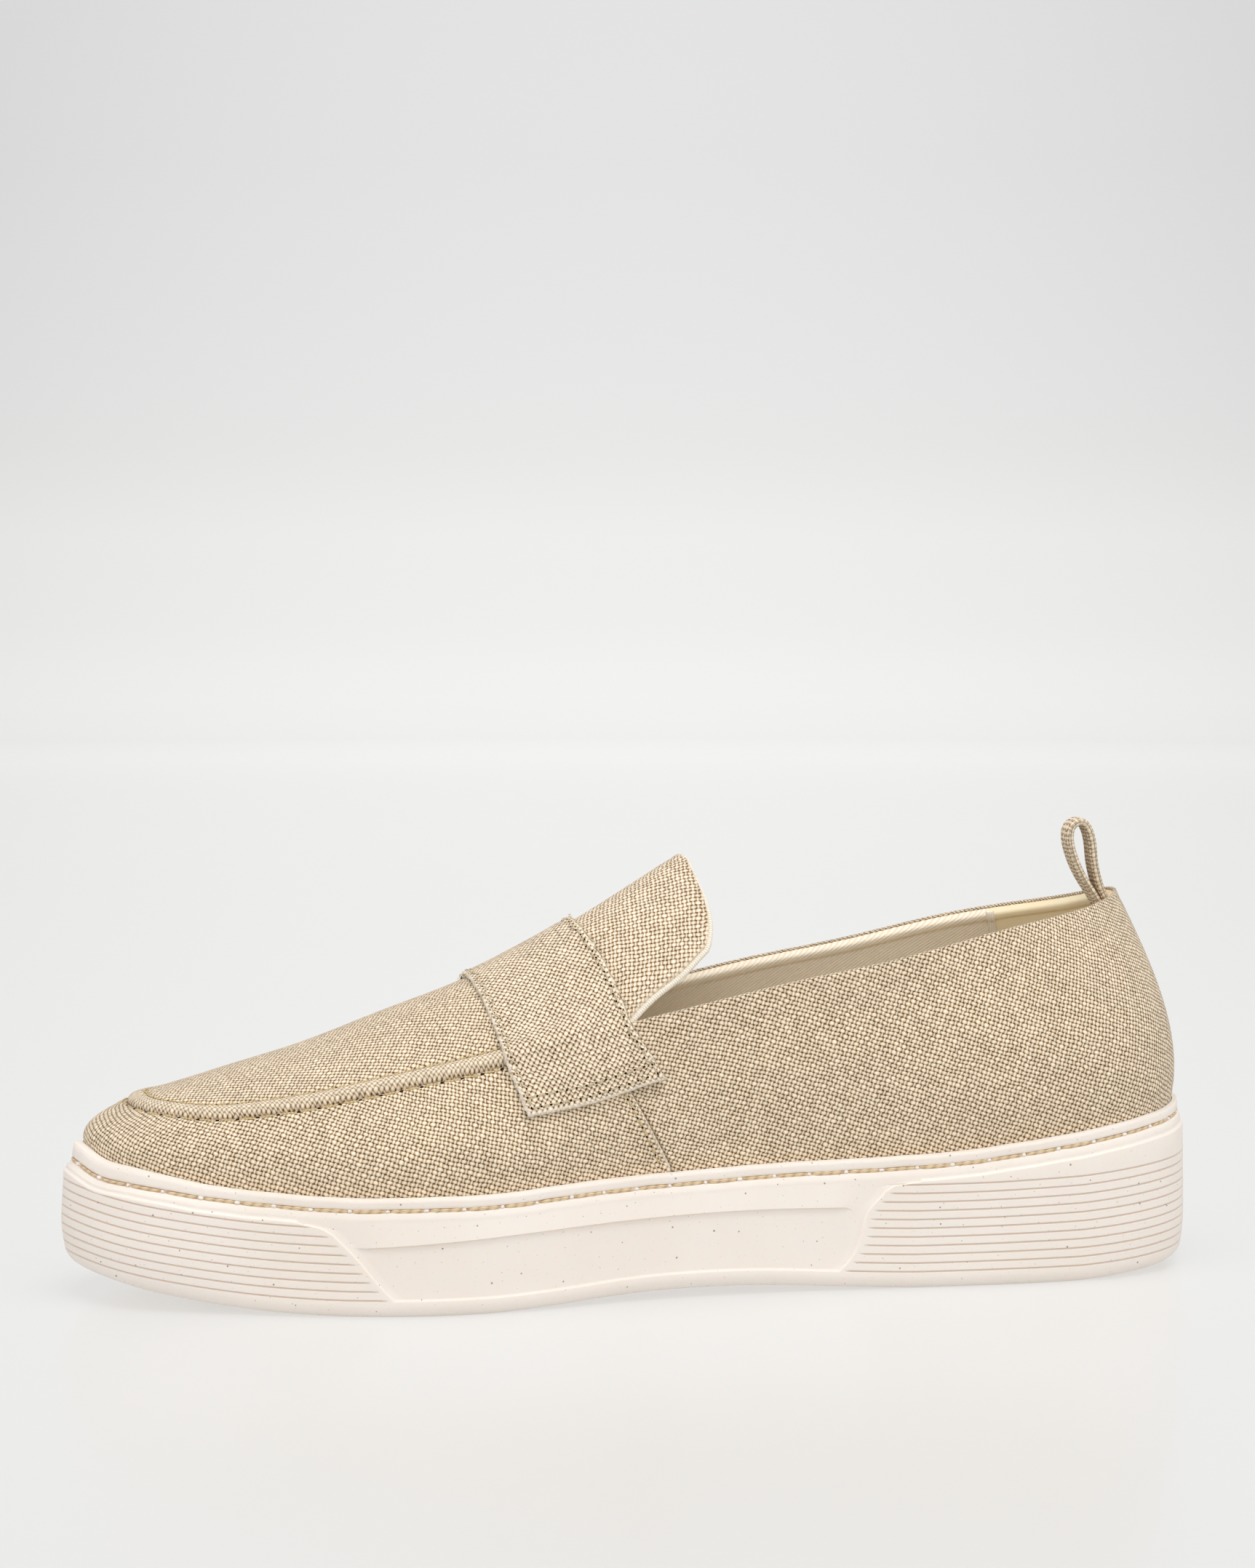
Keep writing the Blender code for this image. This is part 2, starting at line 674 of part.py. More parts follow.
def make_cupsole(material):
    body = Body()
    plan = sole_column_plan()
    outer = {}
    floor = {}
    for i, (zone, fraction) in enumerate(plan):
        for side in SIDES:
            if side == LATERAL and i in (0, len(plan) - 1):
                outer[i, side] = outer[i, MEDIAL]
                floor[i, side] = floor[i, MEDIAL]
                continue
            outer[i, side] = body.column(sole_column(zone, fraction, side))
            station = sole_station(zone, fraction, 60.0)
            inner = LAST.offset_foot(station, side, CUP_GAP)
            floor[i, side] = body.add((inner[0], inner[1], FLOOR_CURVE.at(inner[0])))
    around = [(i, MEDIAL) for i in range(len(plan))]
    around += [(i, LATERAL) for i in range(len(plan) - 2, 0, -1)]
    body.ring([outer[key] for key in around])
    body.ring([[floor[key], outer[key][0]] for key in around])
    rows = {side: [outer[i, side][-1] for i in range(len(plan))] for side in SIDES}
    body.web(rows[MEDIAL], rows[LATERAL])
    rows = {side: [floor[i, side] for i in range(len(plan))] for side in SIDES}
    body.web(rows[MEDIAL], rows[LATERAL])
    sole = body.build("cupsole", material)
    cutter = make_tread_cutter()
    cut = sole.modifiers.new("tread", "BOOLEAN")
    cut.operation = "DIFFERENCE"
    cut.solver = "EXACT"
    cut.object = cutter
    return sole


def make_tread_cutter():
    """Swept bars, one for each tread groove, bowed towards the toe in the middle."""
    work = bmesh.new()
    for x, half in TREAD_ROWS:
        bottom = bottom_height(x, MEDIAL)
        bars = []
        for y, back in ((-half, TREAD_SWEEP), (0.0, 0.0), (half, TREAD_SWEEP)):
            low = bottom - 3.0
            high = bottom + TREAD_DEPTH
            front = x + back - 0.5 * TREAD_WIDTH
            rear = x + back + 0.5 * TREAD_WIDTH
            corners = ((front, low), (rear, low), (rear, high), (front, high))
            bars.append([work.verts.new(placed(cx, y, cz)) for cx, cz in corners])
        for first, second in zip(bars, bars[1:]):
            for i in range(4):
                j = (i + 1) % 4
                work.faces.new((first[i], first[j], second[j], second[i]))
        work.faces.new(bars[0])
        work.faces.new(reversed(bars[-1]))
    bmesh.ops.recalc_face_normals(work, faces=work.faces)
    mesh = bpy.data.meshes.new("tread_cutter")
    work.to_mesh(mesh)
    work.free()
    cutter = bpy.data.objects.new("tread_cutter", mesh)
    cutter.hide_render = True
    cutter.display_type = "WIRE"
    bpy.context.scene.collection.objects.link(cutter)
    return cutter


# ---------------------------------------------------------------- insole

def end_stations():
    """Stations of the toe and heel columns that the cup, the upper and the insole share."""
    toe = [LAST.station_between(0.0, TOE_TOP, i / TOE_COLUMNS) for i in range(TOE_COLUMNS + 1)]
    heel = [LAST.station_between(HEEL_TOP, LAST.last_row, i / HEEL_COLUMNS) for i in range(HEEL_COLUMNS + 1)]
    return toe, heel


def make_insole(material):
    body = Body()
    toe, heel = end_stations()
    waist = [LAST.station_between(TOE_TOP, HEEL_TOP, i / MID_COLUMNS) for i in range(1, MID_COLUMNS)]
    stations = toe + waist + heel
    last = len(stations) - 1
    inset = WALL + INSOLE_SIDE_GAP
    columns = {}
    for i, station in enumerate(stations):
        for side in SIDES:
            if side == LATERAL and i in (0, last):
                columns[i, side] = columns[i, MEDIAL]
                continue
            points = []
            for rise, extra in ((0.0, 0.0), (INSOLE_THICK - INSOLE_EDGE, 0.0), (INSOLE_THICK, INSOLE_EDGE)):
                plan = LAST.offset_foot(station, side, -inset - extra)
                points.append((plan[0], plan[1], FLOOR_CURVE.at(plan[0]) + GAP + rise))
            columns[i, side] = body.column(points)
    around = [(i, MEDIAL) for i in range(last + 1)] + [(i, LATERAL) for i in range(last - 1, 0, -1)]
    body.ring([columns[key] for key in around])
    for level in (0, -1):
        body.web(*([columns[i, side][level] for i in range(last + 1)] for side in SIDES))
    return body.build("insole", material)


# ---------------------------------------------------------------- upper

def ridge_height(station):
    """Height of the raised moc seam: low round the toe, full at the strap, gone under the strap."""
    grown = blend(RIDGE_TOE, RIDGE_BACK, smooth(station / STRAP_FRONT))
    return grown * (1.0 - smooth((station - STRAP_FRONT) / 0.9))


def vamp_step(station):
    """The vamp stands off the quarter at its seam, and settles back in front of it."""
    if station > VAMP_SEAM:
        return 0.0
    return VAMP_STEP * (1.0 - smooth((VAMP_SEAM - station) / 1.2))


def ridge_rows(station, side):
    """Apron rows across the moc seam and on to the crown: fraction w and height over the apron."""
    high = ridge_height(station)
    rows = []
    for share, lift in ((0.25, 1.0), (0.75, 1.0), (1.0, 0.0)):
        rows.append((apron_fraction(station, side, share * RIDGE_WIDTH), lift * high))
    start = rows[-1][0]
    for i in range(1, APRON_ROWS + 1):
        rows.append((blend(start, 1.0, i / APRON_ROWS), 0.0))
    return rows


def upper_outside(station, side, covered):
    """Outer rows of the upper at a station; the last is at the edge line or, if covered, at the crown."""
    foot = LAST.foot(station, side)
    low = FLOOR_CURVE.at(foot[0]) + GAP
    points = [np.array([foot[0], foot[1], low])]
    for i in range(WALL_ROWS + 1):
        v = i / WALL_ROWS
        normal = edge_normal(station, side) if i == WALL_ROWS else wall_normal(station, side, v)
        lift = vamp_step(station) * smooth(2.5 * v) * smooth(4.0 * (1.0 - v))
        points.append(LAST.wall(station, side, v) + normal * lift)
    if covered:
        for w, lift in ridge_rows(station, side):
            points.append(LAST.apron(station, side, w) + apron_normal(station, side, w) * lift)
    return points


def upper_inside(station, side, covered):
    """Inner rows of the upper, from the bottom edge to the edge line or the crown."""
    plan = LAST.offset_foot(station, side, -WALL)
    points = [np.array([plan[0], plan[1], FLOOR_CURVE.at(LAST.foot(station, side)[0]) + GAP])]
    for i in range(LINING_ROWS + 1):
        v = i / LINING_ROWS
        normal = edge_normal(station, side) if i == LINING_ROWS else wall_normal(station, side, v)
        points.append(LAST.wall(station, side, v) - normal * WALL)
    if covered:
        for i in range(1, LINING_ROWS + 1):
            w = i / LINING_ROWS
            points.append(LAST.apron(station, side, w) - apron_normal(station, side, w) * WALL)
    return points


def upper_stations():
    toe, heel = end_stations()
    middle = [4.9, 5.5, 6.2, STRAP_FRONT, 7.5, THROAT, 8.5, VAMP_SEAM, VAMP_SEAM + SEAM_SPLIT,
              9.5, STRAP_BACK, 10.8, 11.6]
    middle = [station for station in middle if toe[-1] + 0.2 < station < heel[0] - 0.2]
    return toe + middle + heel


def make_upper(material):
    body = Body()
    stations = upper_stations()
    last = len(stations) - 1
    outside = {}
    inside = {}
    for i, station in enumerate(stations):
        covered = station <= THROAT
        for side in SIDES:
            if side == LATERAL and i in (0, last):
                outside[i, side] = outside[i, MEDIAL]
                inside[i, side] = inside[i, MEDIAL]
                continue
            outside[i, side] = body.column(upper_outside(station, side, covered))
            inside[i, side] = body.column(upper_inside(station, side, covered))
            if side == LATERAL and covered:
                outside[i, side][-1] = outside[i, MEDIAL][-1]
                inside[i, side][-1] = inside[i, MEDIAL][-1]
    throat = max(i for i, station in enumerate(stations) if station <= THROAT)
    outer_edge = WALL_ROWS + 1
    inner_edge = LINING_ROWS + 1
    for side in SIDES:
        for i in range(last):
            top_out = None if i < throat else outer_edge + 1
            top_in = None if i < throat else inner_edge + 1
            body.strip(outside[i, side][:top_out], outside[i + 1, side][:top_out])
            body.strip(inside[i, side][:top_in], inside[i + 1, side][:top_in])
            body.face(outside[i, side][0], outside[i + 1, side][0], inside[i + 1, side][0], inside[i, side][0])
            if i >= throat:
                body.face(outside[i, side][outer_edge], outside[i + 1, side][outer_edge],
                          inside[i + 1, side][inner_edge], inside[i, side][inner_edge])
        body.strip_by_index(outside[throat, side][outer_edge:], inside[throat, side][inner_edge:])
    return body.build("upper", material)


# ---------------------------------------------------------------- tongue

TONGUE_CURVE = Curve(range(len(TONGUE)), [row[1:] for row in TONGUE])


def tongue_section(row):
    crown_x, crown_z, side_x, half, side_z, reach = TONGUE_CURVE.at(row)
    middle = min(max(row, 0.1), len(TONGUE) - 1.1)
    ahead = TONGUE_CURVE.at(middle + 0.05)
    behind = TONGUE_CURVE.at(middle - 0.05)
    slope = (ahead[1] - behind[1]) / (ahead[0] - behind[0])
    return (crown_x, crown_z), (side_x, half, side_z), slope, reach


def tongue_point(row, side, w):
    crown, edge, slope, _ = tongue_section(row)
    start = (edge[0], side * edge[1], edge[2])
    return arch_point(start, crown, slope, w)


def tongue_normal(row, side, w):
    if w > 0.999:
        slope = tongue_section(row)[2]
        normal = np.array([-slope, 0.0, 1.0])
        return normal / np.linalg.norm(normal)
    along = tongue_point(row + 0.05, side, w) - tongue_point(row - 0.05, side, w)
    across = tongue_point(row, side, w + 0.01) - tongue_point(row, side, w - 0.01)
    normal = np.cross(along, across)
    normal /= np.linalg.norm(normal)
    return normal if normal[2] > 0 else -normal


def tongue_columns():
    """Point and normal rules of the tongue's columns, from under the strap to the tip."""
    columns = []
    for station in (THROAT + 0.06, 8.5, VAMP_SEAM, 9.5):
        start = apron_fraction(station, MEDIAL, TONGUE_SIDE_GAP)
        columns.append((LAST.apron, apron_normal, station, start))
    final = len(TONGUE) - 1
    for i in range(TONGUE_COLUMNS + 1):
        row = final * math.sin(0.5 * math.pi * i / TONGUE_COLUMNS)
        reach = tongue_section(row)[3]
        columns.append((tongue_point, tongue_normal, row, max(1.0 - reach, TONGUE_SIDE_SHARE)))
    return columns


def make_tongue(material):
    body = Body()
    tops = []
    bottoms = []
    for point, normal, place, start in tongue_columns():
        top = []
        bottom = []
        marks = [(MEDIAL, blend(start, 1.0, i / TONGUE_ROWS)) for i in range(TONGUE_ROWS + 1)]
        marks += [(LATERAL, w) for _, w in marks[-2::-1]]
        for side, w in marks:
            where = point(place, side, w)
            top.append(where)
            bottom.append(where - normal(place, side, w) * TONGUE_THICK)
        tops.append(body.column(top))
        bottoms.append(body.column(bottom))
    for grid in (tops, bottoms):
        for first, second in zip(grid, grid[1:]):
            body.strip(first, second)
    for end in (0, -1):
        body.strip(tops[end], bottoms[end])
        rim_top = [column[end] for column in tops]
        rim_bottom = [column[end] for column in bottoms]
        body.strip(rim_top, rim_bottom)
    return body.build("tongue", material)


# ---------------------------------------------------------------- saddle strap

STRAP_STATIONS = (STRAP_FRONT, 7.5, THROAT, 8.5, VAMP_SEAM, 9.5, STRAP_BACK)


def strap_start(station, side):
    """Wall fraction v of the strap's lower edge, which rises towards the back."""
    share = (station - STRAP_FRONT) / (STRAP_BACK - STRAP_FRONT)
    front, back = STRAP_EDGE[side]
    level = blend(front, back, share)
    marks = np.linspace(0.0, 1.0, 41)
    heights = [LAST.wall(station, side, v)[2] for v in marks]
    return float(np.interp(level, heights, marks))


def strap_line(station, side):
    """Points and normals of one side of the strap at a station, lower edge to crown."""
    line = []
    start = strap_start(station, side)
    stand_off = VAMP_STEP if station > VAMP_SEAM else vamp_step(station)
    for i in range(STRAP_WALL_ROWS + 1):
        v = blend(start, 1.0, i / STRAP_WALL_ROWS)
        normal = edge_normal(station, side) if i == STRAP_WALL_ROWS else wall_normal(station, side, v)
        line.append((LAST.wall(station, side, v), normal, stand_off * smooth(4.0 * (1.0 - v))))
    for w, lift in ridge_rows(station, side):
        line.append((LAST.apron(station, side, w), apron_normal(station, side, w), lift))
    return line


def make_strap(material):
    body = Body()
    inner = []
    outer = []
    for station in STRAP_STATIONS:
        medial = strap_line(station, MEDIAL)
        lateral = strap_line(station, LATERAL)
        line = medial + lateral[-2::-1]
        inner.append(body.column([p + n * (STRAP_GAP + lift) for p, n, lift in line]))
        outer.append(body.column([p + n * (STRAP_GAP + lift + STRAP_THICK) for p, n, lift in line]))
    for grid in (inner, outer):
        for first, second in zip(grid, grid[1:]):
            body.strip(first, second)
    for end in (0, -1):
        body.strip(inner[end], outer[end])
        body.strip([column[end] for column in inner], [column[end] for column in outer])
    return body.build("saddle_strap", material)


# ---------------------------------------------------------------- pull loop

def make_pull_loop(material):
    body = Body()
    path = np.array(LOOP_PATH)
    columns = []
    for i, (x, z) in enumerate(path):
        ahead = path[min(i + 1, len(path) - 1)]
        behind = path[max(i - 1, 0)]
        along = (ahead - behind) / np.linalg.norm(ahead - behind)
        normal = np.array([along[1], -along[0]]) * 0.5 * LOOP_THICK
        corners = []
        for turn, y in ((1, -0.5), (1, 0.5), (-1, 0.5), (-1, -0.5)):
            corners.append((x + turn * normal[0], y * LOOP_WIDTH, z + turn * normal[1]))
        columns.append(body.column(corners))
    for first, second in zip(columns, columns[1:]):
        for i in range(4):
            j = (i + 1) % 4
            body.face(first[i], first[j], second[j], second[i])
    body.face(*columns[0])
    body.face(*columns[-1])
    return body.build("heel_pull_loop", material)


# ---------------------------------------------------------------- assembly

def clear_scene():
    for thing in list(bpy.data.objects):
        bpy.data.objects.remove(thing, do_unlink=True)


def main():
    clear_scene()
    materials = {name: make_material(name) for name in COLOURS}
    make_cupsole(materials["rubber"])
    make_insole(materials["footbed"])
    make_upper(materials["linen"])
    make_tongue(materials["tongue linen"])
    make_strap(materials["strap linen"])
    make_pull_loop(materials["loop linen"])


main()
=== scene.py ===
"""Woven linen slip-on penny loafer on a moulded rubber cupsole, dressed round its solids.

Tables are in millimetres, in the last's own frame: toe at -X, heel at +X, medial side at -Y, floor at z = 0.
A place runs round the foot line: 0 at the toe tip, HEEL at the back of the heel, up the medial side first.
"""

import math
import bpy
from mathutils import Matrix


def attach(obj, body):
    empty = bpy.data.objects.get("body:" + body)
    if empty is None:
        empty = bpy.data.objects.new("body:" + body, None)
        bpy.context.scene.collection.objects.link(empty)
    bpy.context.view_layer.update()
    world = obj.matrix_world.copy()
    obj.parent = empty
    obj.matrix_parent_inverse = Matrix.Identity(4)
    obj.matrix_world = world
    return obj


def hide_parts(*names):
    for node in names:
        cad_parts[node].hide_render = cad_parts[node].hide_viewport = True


bl_info = {
    "name": "Linen penny loafer",
    "version": (1, 0, 0),
    "blender": (4, 5, 0),
    "location": "View3D > Sidebar > Loafer",
    "description": "Builds a woven linen slip-on loafer with a raised apron seam and a rubber cupsole",
    "category": "Add Mesh",
}

import bpy
import numpy as np

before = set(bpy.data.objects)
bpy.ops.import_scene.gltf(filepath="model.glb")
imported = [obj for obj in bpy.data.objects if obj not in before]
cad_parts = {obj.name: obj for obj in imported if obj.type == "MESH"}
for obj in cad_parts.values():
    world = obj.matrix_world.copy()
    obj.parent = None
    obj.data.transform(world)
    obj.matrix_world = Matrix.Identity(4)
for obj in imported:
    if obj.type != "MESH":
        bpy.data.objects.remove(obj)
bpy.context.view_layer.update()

MM = 0.001
UP = np.array([0.0, 0.0, 1.0])
# The part's origin in the last's frame
ORIGIN = np.array([1.82, 0.56, 0.0])
MEDIAL, LATERAL = -1, 1

# ---------------------------------------------------------------- sizes of the last

# Sections, toe to heel: foot line, edge line (apron seam, then collar) and the profile of the wall
SECTIONS = (
    # name          foot_x  medial lateral edge_x  half  edge_z belly shoulder rise  fall
    ("toe tip",     -142.9,   2.0,  -2.0, -131.5,  0.0,  49.4, 1.05, 0.60, 0.42, 0.24),
    ("toe cap",     -140.3,  11.5,   8.5, -129.6,  9.6,  49.1, 1.05, 0.60, 0.42, 0.24),
    ("toe corner",  -133.4,  21.5,  18.5, -123.6, 17.8,  48.6, 1.05, 0.60, 0.42, 0.25),
    ("toe side",    -121.3,  29.8,  27.8, -113.2, 24.8,  48.1, 1.05, 0.60, 0.42, 0.27),
    ("toe joint",   -104.0,  37.2,  36.4,  -99.0, 30.4,  49.6, 1.06, 0.60, 0.42, 0.29),
    ("ball front",   -82.3,  45.0,  44.6,  -81.3, 34.0,  52.6, 1.08, 0.60, 0.42, 0.30),
    ("ball",         -60.3,  49.4,  49.4,  -61.8, 35.8,  56.5, 1.10, 0.58, 0.42, 0.30),
    ("strap front",  -31.0,  44.9,  50.2,  -38.8, 35.4,  61.0, 1.12, 0.55, 0.40, 0.30),
    ("strap middle", -10.5,  39.0,  47.5,  -22.2, 33.6,  65.4, 1.14, 0.50, 0.38, 0.32),
    ("vamp seam",      4.2,  36.2,  44.9,  -14.4, 32.2,  67.6, 1.16, 0.48, 0.37, 0.33),
    ("strap back",    15.6,  34.9,  43.2,   -5.2, 30.5,  69.9, 1.18, 0.46, 0.36, 0.33),
    ("waist",         32.0,  34.1,  40.7,   15.8, 29.2,  74.4, 1.22, 0.42, 0.35, 0.33),
    ("quarter",       54.5,  34.6,  38.6,   41.8, 28.6,  79.9, 1.25, 0.40, 0.34, 0.33),
    ("ankle",         78.0,  35.7,  37.3,   66.5, 27.9,  84.4, 1.25, 0.42, 0.33, 0.33),
    ("heel side",    100.5,  36.0,  36.4,   89.0, 25.8,  89.6, 1.24, 0.48, 0.33, 0.33),
    ("heel turn",    122.4,  34.0,  34.0,  109.0, 21.2,  93.5, 1.22, 0.54, 0.33, 0.33),
    ("heel corner",  138.6,  25.0,  25.0,  124.4, 14.2,  96.3, 1.20, 0.57, 0.33, 0.33),
    ("heel curve",   146.6,  13.0,  13.0,  132.0,  7.2,  98.5, 1.20, 0.58, 0.33, 0.33),
    ("heel back",    149.3,   0.0,   0.0,  134.3,  0.0,  99.4, 1.20, 0.58, 0.33, 0.33),
)
# Crown line of the apron, a row for each section that has one: x and height
CROWN = (
    # name          crown_x crown_z
    ("toe tip",     -121.0,  53.0),
    ("toe cap",     -119.9,  53.4),
    ("toe corner",  -116.5,  54.4),
    ("toe side",    -110.2,  56.3),
    ("toe joint",    -99.2,  59.4),
    ("ball front",   -83.2,  64.1),
    ("ball",         -65.2,  70.8),
    ("strap front",  -42.3,  79.2),
    ("strap middle", -28.5,  85.9),
    ("vamp seam",    -21.2,  89.7),
    ("strap back",   -14.0,  93.6),
)
# Free part of the tongue behind the strap: crown, side line, and how far round the tongue reaches
TONGUE = (
    # name          crown_x crown_z side_x  half  side_z reach
    ("strap back",   -14.0,  93.6,  -5.2,  30.5,  69.9, 1.00),
    ("lower",         -7.0,  97.7,   1.5,  28.9,  76.3, 1.00),
    ("middle",         0.5, 102.3,   9.4,  27.5,  82.0, 1.00),
    ("upper",          7.0, 106.3,  15.6,  25.6,  87.6, 0.99),
    ("shoulder",      11.5, 109.1,  20.6,  24.2,  91.0, 0.74),
    ("tip",           14.8, 111.0,  23.0,  22.6,  94.0, 0.20),
)
# Side view of the cupsole: rim height, then height of the medial and lateral bottom edge
RIM = (
    # x        z
    (-142.9, 40.2), (-139.3, 38.0), (-133.3, 36.7), (-125.3, 35.4), (-117.3, 34.1), (-105.3, 32.7),
    (-79.3, 31.2), (-60.3, 31.3), (-40.3, 31.5), (-21.3, 32.6), (5.8, 33.6), (27.8, 34.5),
    (57.8, 35.4), (77.8, 36.3), (108.8, 39.8), (133.8, 43.3), (149.3, 45.2),
)
BOTTOM = (
    # x       medial lateral
    (-152.0, 9.0, 9.0), (-145.3, 7.4, 7.4), (-140.3, 6.3, 6.3), (-134.3, 5.1, 5.1), (-126.3, 3.8, 3.8),
    (-115.3, 2.3, 2.3), (-104.3, 1.1, 1.1), (-91.3, 0.3, 0.3), (-81.3, 0.0, 0.0), (-45.0, 0.0, 0.0),
    (-33.3, 0.4, 0.1), (-21.3, 1.0, 0.4), (-10.3, 1.7, 0.7), (5.8, 2.2, 1.0), (27.8, 2.0, 0.9),
    (44.8, 1.1, 0.5), (57.8, 0.4, 0.2), (69.0, 0.0, 0.0), (114.0, 0.0, 0.0), (126.0, 0.5, 0.5),
    (138.0, 1.1, 1.1), (153.0, 1.9, 1.9),
)
CUP_FLOOR = (
    # x        z
    (-145.3, 18.0), (-123.3, 15.2), (-93.3, 13.4), (-58.3, 13.2), (-23.3, 15.4), (11.8, 18.8),
    (51.8, 22.2), (93.0, 24.0), (149.3, 24.6),
)
# Slanted ends of the ribbed panels, and the fine step along the waist
TOE_PANEL_END = (
    # z      x
    (0.0, -66.5), (2.5, -68.5), (9.5, -74.6), (16.4, -80.1), (20.6, -84.2), (22.6, -87.6), (23.8, -93.0),
)
HEEL_PANEL_END = (
    # z      x
    (0.0, 46.0), (4.8, 48.6), (7.0, 50.9), (15.0, 55.0), (22.6, 58.4), (25.6, 61.2), (27.3, 65.6), (27.9, 71.0),
)
STEP_LINE = ((-79.0, 17.4), (-40.0, 19.8), (-2.0, 21.3), (30.0, 21.9), (54.0, 21.6))
# Centre line of the pull loop's strip, in the middle plane: x and z
LOOP_PATH = (
    (133.9, 91.5), (132.1, 94.9), (130.6, 97.7), (129.5, 100.4), (128.6, 103.4), (127.9, 107.0),
    (127.5, 110.8), (126.7, 114.6), (124.4, 117.5), (122.0, 116.6), (121.1, 113.6), (121.8, 109.6),
    (123.3, 105.6), (125.1, 102.2), (126.9, 99.4), (128.7, 96.6), (130.2, 93.9), (132.0, 90.5),
)
HEEL = len(SECTIONS) - 1
ROUND = 2 * HEEL
ROW = {row[0]: i for i, row in enumerate(SECTIONS)}
STRAP_FRONT = ROW["strap front"]
VAMP_SEAM = ROW["vamp seam"]
STRAP_BACK = ROW["strap back"]
# The apron goes on this far under the strap, and the tongue starts there
APRON_CUT = float(ROW["strap middle"])
# Where the sueded heel lining takes over from the twill
HEEL_JOIN = 14.86

WALL = 2.0
LINING_DEPTH = WALL + 0.12

# Cupsole side; three sizes stand for toe, waist and heel
LIP = (3.5, 2.8, 1.7)
LEAN = (0.30, 0.02, 0.10)
DRAFT = (2.0, 0.8, 0.7)
BEVEL = (4.0, 3.2, 3.2)
TUCK = (3.0, 0.0, 1.6)
TUCK_HEIGHT = 14.0
LIP_TOE_GROWTH = 0.42
LIP_TOE_RISE = 1.3
LIP_LEAST = 0.52
RIM_WAVE = 0.10
WALL_STEP = 0.4
PANEL_RAISE = 0.74
PANEL_DROP = 7.7
PANEL_EDGE = 0.75
STEP_RELIEF = 0.65
STEP_FADE = 7.0
BAND_HEIGHT = 4.5
RIB_START = 4.4
RIB_PITCH = 2.27
RIB_SPREAD = 0.14
RIB_DEPTH = 0.44
RIB_HALF = 0.27
RIB_GROUPS = 11
TOE_RIBS = 9
STEP_GROUP = 6
# The ribs and the waist's lines end this far under the rim, and turn into each other this fast
RIBS_END = 8.15
WAIST_END = 8.3
WAIST_FADE = 27.0
# How far the welt stitches pull the rubber in at their holes, and half the width of a pull
PULL_LIP, PULL_WALL, PULL_HALF = 0.14, 0.15, 1.1
# Section of the lip. Inside: how far out of the foot line, and height over the rim
LIP_INSIDE = ((0.05, -1.4), (0.06, -0.35), (0.42, 0.15))
# Outside: how far in from the lip's outermost line, and height over the rim
LIP_SHAPE = (
    (-1.15, 0.48), (-0.7, 0.30), (-0.32, -0.05), (-0.10, -0.65), (0.0, -1.5), (0.0, -2.5), (-0.04, -3.3),
    (-0.12, -3.8), (-0.32, -4.0), (-0.72, -4.12), (-0.80, -4.45), (-0.60, -4.78), (-0.12, -4.92), (0.10, -5.1),
    (0.2, -5.45),
)
# Lines from the lip down: height over the rim, place in a rib's groove, share of the bevel
TOP_LINES = (-6.1, -6.8, -7.25, -7.5, -7.65, -7.8, -8.05)
RIB_MARKS = (1.6, 1.0, 0.35, -0.35, -1.0, -1.6)
BEVEL_LINES = (1.0, 0.8, 0.55, 0.32, 0.14, 0.03, 0.0)
# Columns of each zone, and the ones at set distances from a panel's slanted end
TOE_COLUMNS, WAIST_COLUMNS, HEEL_COLUMNS = 86, 73, 102
END_MARKS = (-1.0, -0.7, -0.45, -0.25, -0.1, 0.05, 0.25, 0.5, 0.8)
TREAD_DEPTH = 1.1
TREAD_WIDTH = 2.4
TREAD_SWEEP = 5.0
TREAD_ROWS = (
    # x       half width
    (-112.0, 22.0), (-102.0, 27.0), (-92.0, 31.0), (-82.0, 34.0), (-72.0, 36.0), (-62.0, 37.0), (-52.0, 37.0),
    (-42.0, 36.0), (82.0, 25.0), (92.0, 25.0), (102.0, 25.0), (112.0, 23.0), (122.0, 19.0),
)
# Lines across the underside clear of the tread, and how far the end ones are in from toe and heel
PLAIN_LINES = (-136.0, -130.0, -124.0, -118.0, *np.arange(-30.0, 78.0, 6.0), 132.0, 137.0)
END_GAPS = (0.0, 0.3, 1.0, 2.2, 4.0)
WELT_RADIUS = 0.43
WELT_TWIST = 4.2
WELT_SIDES = 12
WELT_LEVEL = -4.47
WELT_INSET = 0.36
WELT_DIP = 0.85

# Footbed: thickness over the cup's floor, ends of its middle lines, and its edge as inset from the foot line and drop
FOOTBED_THICK = 4.5
FOOTBED_ENDS = (-128.0, 136.0)
FOOTBED_EDGE = ((2.1, 2.5), (2.15, 0.6), (2.5, 0.1), (3.2, -0.25), (5.0, -0.15), (8.0, 0.0))
# Padded roll of the lining at the collar, and lines of the lining at set distances below it
ROLL_START, ROLL_TALL, ROLL_THICK = 0.05, 3.3, 0.95
ROLL_ROWS = [0.1, 0.2, 0.3, 0.45, 0.7, 1.1, 1.6, 2.1, 2.6, 3.0, 3.25, 3.45, 3.6, 3.8, 4.1, 4.5, 5.4, 6.4]
# Turned edge of the quarters
EDGE_ROLL = 0.55

# Raised apron seam, vamp edge, strap, tongue, loop
RIDGE_WIDTH = 5.4
RIDGE_BACK = 1.5
RIDGE_TOE = 0.8
RIDGE_MARKS = [0.0, 0.25, 0.5, 0.8, 1.15, 1.6, 2.1, 2.7, 3.3, 3.9, 4.4, 4.8, 5.1, RIDGE_WIDTH, 5.7, 6.0, 6.4, 7.0, 8.0]
WALL_FOOT = [0.0, 1.5, 3.0, 3.5, 4.2]
VAMP_STEP = 0.9
STRAP_THICK = 1.5
STRAP_EDGE = (48.2, 55.6)
